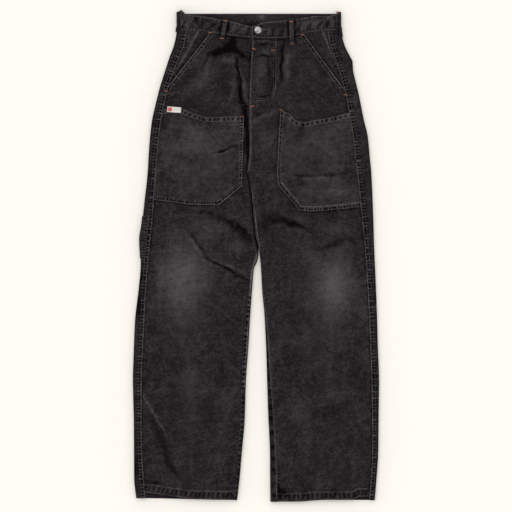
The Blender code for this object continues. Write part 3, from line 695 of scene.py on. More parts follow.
def hem_line(leg: Leg, x: Array) -> Array:
    """Returns how far the front's hem is drawn up from the leg's level end, by place across."""
    if leg is Leg.RIGHT:
        return 1.2 + leg_end(leg, x) + 12.5 * smooth_step(-135.0, -275.0, x)
    return 0.5 + leg_end(leg, x) + 7.0 * smooth_step(220.0, 236.0, x)


def quads(number: Array, present: Array | None = None) -> list[list[int]]:
    """Returns four-sided faces on a grid of point numbers, all of them or those of the cells present."""
    cells = np.stack((number[:-1, :-1], number[1:, :-1], number[1:, 1:], number[:-1, 1:]), axis=-1)
    return (cells.reshape(-1, 4) if present is None else cells[present]).tolist()


@dataclass
class ClothWall:
    """A closed wall of cloth under a grid of outer points.

    Rows run down the garment. A whole grid's inner face keeps one row and column of every few
    that the outer face has, by the number coarse; present says which cells of a grid are there.
    """

    name: str
    outer: Array
    depth: Array | float
    marks: Marks
    coarse: int = 1
    present: Array | None = None
    inside_marks: Marks | None = None
    extra: dict[str, Array] = field(default_factory=dict)

    def __post_init__(self) -> None:
        """Turns the columns round where the grid's outer face looks down."""
        self.depth = np.broadcast_to(np.asarray(self.depth, float), self.outer.shape[:2])
        shown = self.outer[:, : max(3, self.outer.shape[1] // 4)]
        down, across = shown[1:, :-1] - shown[:-1, :-1], shown[:-1, 1:] - shown[:-1, :-1]
        if np.cross(down, across)[..., 2].mean() >= 0.0:
            return
        self.outer, self.depth, self.marks = self.outer[:, ::-1], self.depth[:, ::-1], self.marks.turned()
        self.extra = {key: value[:, ::-1] for key, value in self.extra.items()}
        if self.present is not None:
            self.present = self.present[:, ::-1]

    def normals(self) -> Array:
        """Returns the outer face's unit normals."""
        normal = np.cross(np.gradient(self.outer, axis=0), np.gradient(self.outer, axis=1))
        return normal / np.maximum(1e-9, np.linalg.norm(normal, axis=2))[..., None]

    def _plain_faces(self) -> tuple[list[list[int]], Array, Array]:
        """Faces of a whole grid whose inner face is coarser.

        Returns:
            The faces, and the rows and columns that the inner face keeps.
        """
        size = self.outer.shape[:2]
        rows, columns = (np.unique(np.append(np.arange(0, n, self.coarse), n - 1)) for n in size)
        number = np.arange(size[0] * size[1]).reshape(size)
        under = number.size + np.arange(rows.size * columns.size).reshape(rows.size, columns.size)
        faces = quads(number) + [face[::-1] for face in quads(under)]
        for line, low, kept in (
            (number[:, 0], under[:, 0], rows),
            (number[-1], under[-1], columns),
            (number[::-1, -1], under[::-1, -1], size[0] - 1 - rows[::-1]),
            (number[0, ::-1], under[0, ::-1], size[1] - 1 - columns[::-1]),
        ):
            for a, b, first, last in zip(low.tolist(), low[1:].tolist(), kept, kept[1:]):
                half, rim = (first + last) // 2 - first, line[first : last + 1].tolist()
                faces += [[rim[k + 1], rim[k], a if k < half else b] for k in range(last - first)]
                faces.append([rim[half], a, b])
        return faces, rows, columns

    def _masked_faces(self) -> list[list[int]]:
        """Returns the faces of a grid of which only some cells are there."""
        number = np.arange(self.outer[..., 0].size).reshape(self.outer.shape[:2])
        outer, under = quads(number, self.present), number.size
        edges = {(a, b) for face in outer for a, b in zip(face, face[1:] + face[:1])}
        rim = [[b, a, under + a, under + b] for a, b in sorted(edges) if (b, a) not in edges]
        return outer + [[under + k for k in reversed(face)] for face in outer] + rim

    def flat_size(self) -> tuple[float, float, float]:
        """Returns the cut's width and length in metres and its area in square metres, unfolded."""
        across = np.linalg.norm(np.diff(self.outer, axis=1), axis=2)
        down = np.linalg.norm(np.diff(self.outer, axis=0), axis=2)
        cells = (across[:-1] + across[1:]) * (down[:, :-1] + down[:, 1:]) / 4.0
        if self.present is not None:
            across, cells = across[:-1] * self.present, cells * self.present
        return across.sum(1).max() * MM, down.sum(0).max() * MM, float(cells.sum()) * MM * MM

    def build(self, material: bpy.types.Material) -> bpy.types.Object:
        """Makes the mesh object in a finish's material."""
        inner = self.outer - self.normals() * self.depth[..., None]
        inner[..., 2] = np.maximum(inner[..., 2], 0.05)
        inside = self.inside_marks or Marks(self.marks.lift, self.marks.wear_and_highlight * 0.3, self.marks.painted_shade * 0.5)
        if self.present is None:
            faces, rows, columns = self._plain_faces()
            pick = np.ix_(rows, columns)
        else:
            faces, pick = self._masked_faces(), slice(None)
        points = np.concatenate([self.outer.reshape(-1, 3), inner[pick].reshape(-1, 3)])
        layers = {"wear_and_highlight": (self.marks.wear_and_highlight, inside.wear_and_highlight), "painted_shade": (self.marks.painted_shade, inside.painted_shade)}
        layers |= {key: (value, value) for key, value in self.extra.items()}
        values = {key: np.concatenate([top.ravel(), low[pick].ravel()]) for key, (top, low) in layers.items()}
        return make_mesh(self.name, points, faces, material, values)


def make_mesh(
    name: str,
    points: Array,
    faces: list[list[int]],
    material: bpy.types.Material,
    values: dict[str, Array] | None = None,
    sharp: float = 50.0,
) -> bpy.types.Object:
    """Makes a mesh object from points in millimetres.

    Args:
        name: The object's name.
        points: Its points.
        faces: Its faces, as lists of point numbers.
        material: Its finish.
        values: Named values for each point, which the finish reads.
        sharp: Angle in degrees from which an edge stays sharp.

    Returns:
        The object.
    """
    used = np.unique(np.fromiter((k for face in faces for k in face), int))
    place = np.full(len(points), -1)
    place[used] = np.arange(len(used))
    mesh = bpy.data.meshes.new(name)
    mesh.from_pydata((points[used] * MM).tolist(), [], [[int(place[k]) for k in face] for face in faces])
    for key, value in (values or {}).items():
        layer = mesh.attributes.new(key, "FLOAT", "POINT")
        layer.data.foreach_set("value", np.clip(value[used], 0.0, 1.5).astype(np.float32))
    mesh.shade_smooth()
    mesh.set_sharp_from_angle(angle=math.radians(sharp))
    mesh.materials.append(material)
    thing = bpy.data.objects.new(name, mesh)
    bpy.context.scene.collection.objects.link(thing)
    return thing


class Nodes:
    """Builds one material's node tree, a node and its links at a time."""

    def __init__(self, name: str) -> None:
        """Starts the tree of a material of this name with the places on the object."""
        self.material = bpy.data.materials.new(name)
        self.material.use_nodes = True
        self.tree = self.material.node_tree
        self.tree.nodes.clear()
        self.place = self.add("ShaderNodeTexCoord").outputs["Object"]

    def add(self, kind: str, settings: dict[str, object] | None = None, **inputs: object) -> bpy.types.Node:
        """Adds a node.

        Args:
            kind: The node's type.
            settings: Its properties.
            inputs: Its sockets by name, with _ for a space, or by number as n0: a value, or a socket
                to link.

        Returns:
            The node.
        """
        node = self.tree.nodes.new(kind)
        for key, value in (settings or {}).items():
            setattr(node, key, value)
        for key, value in inputs.items():
            socket = node.inputs[int(key[1:]) if key[1:].isdigit() else key.replace("_", " ")]
            if isinstance(value, Socket):
                self.tree.links.new(value, socket)
            else:
                socket.default_value = value
        return node

    def math(self, operation: str, a: object, b: object, clamp: bool = False) -> Socket:
        """Adds a sum of two numbers or sockets, kept from 0 to 1 if clamp is set."""
        return self.add("ShaderNodeMath", {"operation": operation, "use_clamp": clamp}, n0=a, n1=b).outputs[0]

    def plus(self, a: object, b: object, clamp: bool = False) -> Socket:
        """Adds two numbers or sockets."""
        return self.math("ADD", a, b, clamp)

    def times(self, a: object, b: object) -> Socket:
        """Multiplies two numbers or sockets."""
        return self.math("MULTIPLY", a, b)

    def value(self, name: str) -> Socket:
        """Reads one of the mesh's own values."""
        return self.add("ShaderNodeAttribute", {"attribute_name": name}).outputs["Fac"]

    def mapped(self, **inputs: object) -> Socket:
        """Returns the places turned or stretched."""
        return self.add("ShaderNodeMapping", None, Vector=self.place, **inputs).outputs[0]

    def noise(self, size: float, detail: float = 2.0, place: Socket | None = None) -> Socket:
        """Adds noise around one half, with spots of a size in millimetres and levels of detail."""
        inputs = {"Vector": place or self.place, "Scale": 1.0 / (size * MM), "Detail": detail}
        return self.add("ShaderNodeTexNoise", None, **inputs).outputs["Fac"]

    def ribs(self, size: float, across: str = "X", place: Socket | None = None, **more: float) -> Socket:
        """Adds ribs of a size in millimetres, one after another along an axis."""
        inputs = {"Vector": place or self.place, "Scale": 1.0 / (size * MM) / 20.0 * math.tau, **more}
        return self.add("ShaderNodeTexWave", {"bands_direction": across}, **inputs).outputs["Fac"]

    def blend(self, share: object, a: object, b: object) -> Socket:
        """Mixes two colours or sockets, by the share of the second one."""
        return self.add("ShaderNodeMix", {"data_type": "RGBA"}, n0=share, n6=a, n7=b).outputs[2]

    def surface(
        self, height: Socket | None, depth: float, strength: float, **inputs: object
    ) -> bpy.types.Material:
        """Ends the tree with a Principled shader.

        Args:
            height: The relief's height, or None for a plain surface.
            depth: The relief's depth in millimetres.
            strength: How strong it is.
            inputs: The shader's sockets.

        Returns:
            The material.
        """
        if height is not None:
            relief = {"Strength": strength, "Distance": depth * MM, "Height": height}
            inputs["Normal"] = self.add("ShaderNodeBump", None, **relief).outputs[0]
        shader = self.add("ShaderNodeBsdfPrincipled", None, **inputs)
        self.add("ShaderNodeOutputMaterial", None, Surface=shader.outputs[0])
        return self.material


@dataclass(frozen=True)
class CanvasFinish:
    """Washed cotton twill, paler where the marks give wear and painted highlight, and darkened by painted
    shade in its dents and creases.
    """

    name: str
    base: Colour = (0.0078, 0.0055, 0.0076, 1.0)
    # Pale colour of wear and of painted highlight
    faded_and_lit: Colour = (0.122, 0.1135, 0.1150, 1.0)
    shadow: Colour = (0.0018, 0.0013, 0.0018, 1.0)
    plain: float = 0.072
    patch: float = 32.0
    mottle: float = 8.0
    grain: float = 2.4
    thread: float = 0.9
    twill_turn: float = 28.0
    weave_height: float = 0.10
    roughness: float = 0.86

    @cached_property
    def material(self) -> bpy.types.Material:
        """The material: slanting ribs broken up by the threads, mottled, paler with wear and painted
        highlight, and darkened by painted shade.
        """
        nodes = Nodes(self.name)
        patches, mottle, grain = (
            nodes.math("SUBTRACT", nodes.noise(size, detail), 0.5)
            for size, detail in ((self.patch, 3.0), (self.mottle, 3.0), (self.grain, 2.0))
        )
        slanted = nodes.mapped(Rotation=(0.0, 0.0, math.radians(self.twill_turn)))
        ribs = nodes.ribs(self.thread, place=slanted, Distortion=0.6, Detail=1.0)
        twill = nodes.times(nodes.plus(ribs, nodes.ribs(self.thread, "Y")), 0.5)
        lighter = nodes.times(patches, 0.18)
        for part, amount in ((mottle, 0.20), (grain, 0.60), (nodes.math("SUBTRACT", twill, 0.5), 0.10)):
            lighter = nodes.plus(lighter, nodes.times(part, amount))
        rubbed_and_lit = nodes.times(nodes.value("wear_and_highlight"), nodes.plus(nodes.times(grain, 0.9), 1.0))
        share = nodes.plus(nodes.plus(rubbed_and_lit, lighter), self.plain, clamp=True)
        cloth = nodes.blend(share, self.base, self.faded_and_lit)
        height = nodes.plus(nodes.times(twill, 0.6), nodes.times(grain, 1.6))
        # Painted shade darkens the colour towards the shadow colour
        return nodes.surface(
            nodes.plus(height, nodes.times(mottle, 1.2)), self.weave_height, 0.55,
            Base_Color=nodes.blend(nodes.math("MINIMUM", nodes.value("painted_shade"), 1.0), cloth, self.shadow),
            Roughness=nodes.plus(nodes.times(grain, 0.12), self.roughness),
            Specular_IOR_Level=0.03, Sheen_Weight=0.02, Sheen_Roughness=0.5,
        )


@dataclass(frozen=True)
class ThreadFinish:
    """Sewing thread, with its ply as fine slanting ribs."""

    name: str
    colour: Colour
    light: Colour
    roughness: float = 0.6
    ply: float = 0.5

    @cached_property
    def material(self) -> bpy.types.Material:
        """The material."""
        nodes = Nodes(self.name)
        ply = nodes.ribs(
            self.ply, place=nodes.mapped(Rotation=(0.4, 0.3, math.radians(40.0))), Distortion=1.0
        )
        share = nodes.plus(nodes.times(ply, 0.35), nodes.times(nodes.noise(9.0), 0.5))
        colour = nodes.blend(share, self.colour, self.light)
        return nodes.surface(ply, 0.1, 0.5, Base_Color=colour, Roughness=self.roughness, Sheen_Weight=0.2)


@dataclass(frozen=True)
class MetalFinish:
    """Dull plated metal with fine scratches, and painted shade in its recesses."""

    name: str
    bright: Colour = (0.66, 0.65, 0.63, 1.0)
    dull: Colour = (0.04, 0.036, 0.036, 1.0)

    @cached_property
    def material(self) -> bpy.types.Material:
        """The material."""
        nodes = Nodes(self.name)
        spots = nodes.math("SUBTRACT", nodes.noise(4.0, 3.0), 0.40)
        lines = nodes.noise(1.1, 3.0, nodes.mapped(Scale=(1.0, 9.0, 1.0)))
        # Dark in the random spots, and with painted shade in the recesses
        share = nodes.plus(nodes.times(spots, 2.6), nodes.value("painted_shade"), clamp=True)
        colour = nodes.blend(share, self.bright, self.dull)
        rough = nodes.plus(nodes.times(lines, 0.22), 0.24)
        return nodes.surface(lines, 0.05, 0.25, Base_Color=colour, Roughness=rough, Metallic=1.0)


@dataclass(frozen=True)
class TabFinish:
    """Woven satin tab, white with a plain red block at one end."""

    name: str
    white: Colour = (0.72, 0.71, 0.67, 1.0)
    red: Colour = (0.62, 0.075, 0.07, 1.0)
    grey: Colour = (0.42, 0.42, 0.42, 1.0)
    # Colour of the shadow painted along the tab's edge
    edge: Colour = (0.12, 0.11, 0.11, 1.0)

    @cached_property
    def material(self) -> bpy.types.Material:
        """The material; the mesh's value block says where the red is, and its value of painted shade where
        the shadow along the edge is painted.
        """
        nodes = Nodes(self.name)
        limits = {"Value": nodes.value("block"), "From_Min": 0.42, "From_Max": 0.58}
        block = nodes.add("ShaderNodeMapRange", None, **limits).outputs[0]
        colour = nodes.blend(block, self.white, self.red)
        colour = nodes.blend(nodes.times(nodes.noise(2.5), 0.25), colour, self.grey)
        colour = nodes.blend(nodes.value("painted_shade"), colour, self.edge)
        weave = nodes.times(nodes.plus(nodes.ribs(0.5, "Y"), nodes.ribs(0.5)), 0.5)
        return nodes.surface(weave, 0.08, 0.4, Base_Color=colour, Roughness=0.55, Sheen_Weight=0.15)


@dataclass(frozen=True)
class FloorFinish:
    """Plain pale floor."""

    name: str
    colour: Colour = (0.965, 0.942, 0.868, 1.0)
    other: Colour = (0.9, 0.9, 0.88, 1.0)

    @cached_property
    def material(self) -> bpy.types.Material:
        """The material."""
        nodes = Nodes(self.name)
        tint = nodes.blend(nodes.times(nodes.noise(600.0), 0.02), self.colour, self.other)
        return nodes.surface(None, 0.0, 0.0, Base_Color=tint, Roughness=0.95, Specular_IOR_Level=0.1)


@dataclass(frozen=True)
class SewnBand(Detail):
    """A double-stitched band: a pale edge, dents with painted shade between its rows, a pale far row; its
    pale lines are wear with painted highlight.
    """

    route: Route
    side: float
    width: float = 7.5
    seed: int = 1
    pitch: float = 6.1
    edge: float = 0.7
    dents: float = 1.35
    rungs: float = 0.6
    far: float = 0.3
    length: float = 1.5
    start: float = 0.0

    def mark(self, x: Array, y: Array, marks: Marks) -> None:
        """Adds the band to a piece's marks; it lies to the left of its route where side is 1."""
        s, w = self.side, self.width
        far_row = self.start + w
        for part in (
            PaleOrDarkLine(self.route, s * (self.start + 0.6), 0.95, wear_and_highlight=self.edge, even=0.45, seed=self.seed),
            Puckers(
                self.route, s * (self.start + 1.2), s * (far_row + 0.3), self.pitch, self.dents,
                self.rungs, 0.5,
                seed=self.seed + 1, length=self.length,
            ),
            PaleOrDarkLine(self.route, s * far_row, 0.9, wear_and_highlight=self.far, even=0.35, seed=self.seed + 2),
        ):
            part.mark(x, y, marks)


# Wrinkles all over the cloth, from washing and wear, with painted highlight on their rises and painted shade
# in their hollows
RUMPLES: tuple[Detail, ...] = (
    Rumple(46.0, 6.0, 8.0, 0.16, 0.045, 0.10, 301),
    Rumple(34.0, 7.0, 62.0, 0.18, 0.04, 0.09, 311),
    Rumple(30.0, 5.5, -48.0, 0.16, 0.04, 0.09, 321),
    Rumple(60.0, 10.0, 88.0, 0.20, 0.05, 0.10, 331),
    Rumple(9.0, 3.2, 15.0, 0.06, 0.06, 0.10, 341),
)


def declare(thing: bpy.types.Object, name: str) -> None:
    """Attaches a piece to the root and hides the solid of the same name."""
    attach(thing, "root")
    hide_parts(name)


@dataclass
class ClothPiece:
    """A cut piece of the garment, built as a thin wall."""

    name: str
    rests_on: tuple[str, ...] = ()

    def details(self) -> Sequence[Detail]:
        """Returns the creases, edges and puckers on the piece, with their wear, painted highlight and painted
        shade.
        """
        return ()

    def marks(self, x: Array, y: Array) -> Marks:
        """Returns the details' marks at the piece's points."""
        marks = Marks.blank(x.shape)
        for detail in (*self.details(), *RUMPLES):
            detail.mark(x, y, marks)
        return marks

    def wall(self) -> ClothWall:
        """Returns the piece's wall, with its details' marks on it."""
        raise NotImplementedError

    def laid(self, points: Sequence[Array], depth: Array | float, marks: Marks, coarse: int = 1) -> ClothWall:
        """Returns the wall of a depth over x, y and z, raised where the marks say."""
        x, y, z = points
        return ClothWall(self.name, np.stack([x, y, z + marks.lift], axis=2), depth, marks, coarse)

    def build(self, finish: CanvasFinish, sewing: "Needlework") -> bpy.types.Object:
        """Args:
            finish: Its cloth.
            sewing: The needlework, which takes the piece's face to lay stitches on.

        Returns:
            The object.
        """
        wall = self.wall()
        thing = wall.build(finish.material)
        width, length, area = wall.flat_size()
        declare(thing, self.name)
        sewing.cover(wall)
        return thing


def outseam_route(leg: Leg, start: float = 514.0, end: float | None = None) -> Route:
    """The outseam of a leg, from the waist to the leg's end."""
    return y_route(FORM.outseam[leg], start, HEM_LEVEL[leg] + 1.0 if end is None else end)


def hem_route(leg: Leg, rise: float = HEM_WIDTH) -> Route:
    """The hem's stitching, from the picture's left to its right."""
    ends = (-259.0, -45.0) if leg is Leg.RIGHT else (51.0, 258.0)
    x = np.linspace(*ends, 30)
    return Route(np.stack([x, HEM_LEVEL[leg] + rise + hem_line(leg, x)], axis=1))


def mouth_route(leg: Leg) -> Route:
    """The edge of the slanted pocket mouth, from its top to its end at the outseam."""
    (top_x, top_y), (low_x, low_y) = MOUTH[leg]
    y = np.linspace(top_y + 2.0, low_y - 8.0, 24)
    x = np.interp(y, (low_y, top_y), (low_x, top_x))
    run_out = smooth_step(low_y - 30.0, low_y, y)
    return Route(np.stack([mix(FORM.outseam[leg](y), x, run_out), y], axis=1))


def fly_route() -> Route:
    """The fly's curved row of stitches, from the waist down and round to the fly's edge."""
    return Route.smooth(
        (45.5, 499.0), (45.2, 440.0), (44.9, 396.0), (42.0, 375.0), (33.5, 362.5), (17.0, 357.5),
        (-6.0, 356.5),
    )


def centre_route(start: float, end: float) -> Route:
    """The centre seam, from one height down to another."""
    return y_route(FORM.centre_seam, start, end, step=6.0)


# What shows beside the form: creases as three points, width, rise, painted shade, and wear with painted
# highlight
RIGHT_CREASES: tuple[Detail, ...] = (
    Crease(-106, 463, -78, 471, -50, 496, 8.0, -1.2, 1.9),
    Crease(-96, 458, -62, 484, -44, 500, 14, 0.0, 0.35),
    Crease(-64, 480, -38, 466, -13, 452, 6.5, -0.9, 1.2),
    Crease(-58, 502, -50, 490, -48, 474, 7, -0.5, 0.9),
    Crease(-84, 447, -58, 452, -38, 446, 6, 0.4, 0.0, 0.22),
    Crease(-46, 456, -40, 420, -35, 374, 3.2, -0.8, 2.2),
    Crease(-37, 404, -34, 364, -22, 312, 3.6, -1.0, 2.2),
    Crease(-36, 430, -28, 395, -20, 350, 3.0, 0.6, 0.0, 0.3),
    Crease(-27, 352, -21, 300, -18.5, 226, 5.2, -1.4, 1.6),
    Crease(-40, 372, -32, 335, -28, 300, 7.0, -0.3, 0.3),
    Crease(-108, 448, -118, 410, -152, 378, 9, 0.3, 0.0, 0.2),
    Crease(-107, 482, -114, 455, -126, 432, 4.5, -0.5, 0.55),
    Crease(-136, 432, -154, 414, -176, 388, 9, -0.4, 0.45),
    Crease(-72, 430, -76, 400, -92, 360, 10, -0.3, 0.16),
    Crease(-190, 372, -160, 352, -110, 340, 9, -0.3, 0.2),
    Crease(-52, 400, -58, 372, -66, 345, 5, 0.3, 0.0, 0.12),
    Crease(-104, 96, -50, 70, -12, 22, 8, -0.9, 0.85),
    Crease(-180, 113, -125, 101, -84, 107, 4.5, -0.4, 0.5),
    Crease(-60, 84, -30, 62, -8, 30, 5, -0.6, 0.5),
    Crease(-156, 60, -134, 30, -112, -4, 2.6, -0.8, 0.95),
    Crease(-118, -4, -72, -26, -18, -58, 2.8, -0.9, 1.2),
    Crease(-162, 52, -138, 20, -116, -14, 3.0, 0.6, 0.0, 0.22),
    Crease(-100, -6, -66, -20, -14, -48, 2.6, 0.6, 0.0, 0.26),
    Crease(-246, -350, -234, -394, -204, -440, 8, -0.6, 0.6),
    Crease(-208, -436, -198, -478, -164, -522, 6.5, -0.7, 0.75),
    Crease(-255, -518, -235, -520, -212, -525, 3.4, -0.5, 0.8),
    Crease(-198, -238, -183, -262, -174, -280, 4.5, -0.4, 0.4),
    Crease(-261, -316, -236, -360, -204, -411, 2.2, 0.5, 0.0, 0.42),
    Crease(-70, -120, -84, -230, -100, -330, 16, 0.3, 0.12),
    Crease(-200, -60, -215, -160, -222, -280, 16, -0.3, 0.12),
    Crease(-60, -300, -80, -400, -90, -500, 14, 0.3, 0.0, 0.08),
    Crease(-160, -200, -150, -300, -152, -420, 16, 0.3, 0.0, 0.07),
    Fade(-174, -56, 42, 82, 0.42),
    Fade(-120, -30, 34, 40, 0.10),
    Fade(-108, 62, 30, 26, 0.13),
    Fade(-44, 24, 14, 14, 0.16),
    Fade(-75, -84, 36, 30, -0.14),
    Fade(-221, -70, 8, 60, 0.10),
    Fade(-125, -300, 60, 20, 0.08, -24),
    Fade(-130, -345, 60, 16, -0.12),
    Fade(-150, -60, 70, 110, 0.08),
    Fade(-235, 40, 18, 60, -0.16),
    Fade(-130, 430, 40, 60, 0.06),
)
LEFT_CREASES: tuple[Detail, ...] = (
    Crease(67, 494, 60, 463, 56.5, 404, 3.0, -0.9, 1.5),
    Crease(58, 420, 56, 390, 58, 360, 6, -0.3, 0.3),
    Crease(74, 470, 70, 430, 68, 392, 6, 0.5, 0.0, 0.25),
    Crease(0, 485, 18, 487, 36, 483, 3.0, -0.5, 1.1),
    Crease(-6, 458, 14, 460, 38, 457, 3.0, -0.6, 1.2),
    Crease(0, 493, 18, 494, 36, 492, 3.5, 0.4, 0.0, 0.2),
    Crease(0, 470, 16, 470, 34, 468, 4.0, 0.4, 0.0, 0.18),
    Crease(26, 452, 31, 410, 30, 372, 6, -0.6, 0.8),
    Crease(44, 452, 43, 420, 38, 380, 4, -0.5, 0.8),
    Crease(4, 448, 6, 420, 4, 395, 8, 0.3, 0.0, 0.14),
    Crease(2, 366, 18, 364, 32, 372, 4, -0.4, 0.6),
    Crease(-17, 300, 10, 318, 56, 336, 5, 0.8, 0.0, 0.28),
    Crease(-4, 338, 8, 326, 22, 330, 5, -0.6, 0.6),
    Crease(-2, 330, 1, 322, 3, 312, 3.5, -0.6, 0.7),
    Crease(4, 300, 30, 270, 36, 230, 14, 0.4, 0.0, 0.1),
    Crease(96, 440, 110, 420, 132, 398, 8, -0.3, 0.2),
    Crease(70, 352, 80, 340, 82, 330, 8, 0.4, 0.0, 0.12),
    Crease(100, 360, 150, 345, 210, 345, 12, -0.3, 0.18),
    Crease(6, 68, 46, 86, 88, 74, 13, -0.8, 0.8),
    Crease(66, 80, 100, 68, 131, 58, 6, -0.8, 0.95),
    Crease(144, 14, 172, 25, 200, 37, 7, -0.8, 0.8),
    Crease(198, 38, 229, 26, 223, -26, 7, -0.5, 0.5),
    Crease(30, 84, 70, 64, 120, 50, 5, 0.4, 0.0, 0.15),
    Crease(60, 92, 90, 88, 120, 82, 5, 0.3, 0.0, 0.12),
    Crease(140, 66, 180, 62, 224, 58, 9, 0.3, 0.0, 0.12),
    Crease(60, 40, 110, 12, 150, -20, 12, 0.3, 0.0, 0.12),
    Crease(2, 22, 4, 12, 7, 0, 3.5, -0.6, 0.9),
    Crease(168, -238, 205, -226, 243, -206, 3, -0.4, 0.4),
    Crease(54, -402, 146, -368, 250, -320, 11, -0.5, 0.42),
    Crease(90, -300, 110, -380, 110, -470, 16, 0.3, 0.0, 0.08),
    Crease(220, -60, 232, -200, 236, -330, 15, -0.3, 0.12),
    Crease(170, -150, 168, -260, 172, -380, 15, 0.3, 0.0, 0.06),
    Crease(50, -40, 62, -130, 70, -230, 14, -0.3, 0.12),
    Fade(178, -68, 44, 66, 0.44),
    Fade(124, -142, 60, 34, -0.14),
    Fade(90, -373, 30, 24, 0.07),
    Fade(185, -320, 40, 22, 0.08),
    Fade(179, -259, 4, 6, -0.4),
    Fade(175, -110, 72, 110, 0.08),
    Fade(60, 20, 50, 50, -0.12),
    Fade(20, 420, 16, 34, 0.08),
    Fade(10, 250, 26, 60, 0.06),
)
# The groove where the left side lies over the right one below the fly
GROOVE = Route.smooth(
    (-23.0, 340.0), (-20.5, 300.0), (-19.5, 262.0), (-18.6, 228.0), (-21.6, 198.0), (-14.8, 168.0),
    (-8.4, 138.0), (-4.0, 74.0), (6.0, 8.0),
)


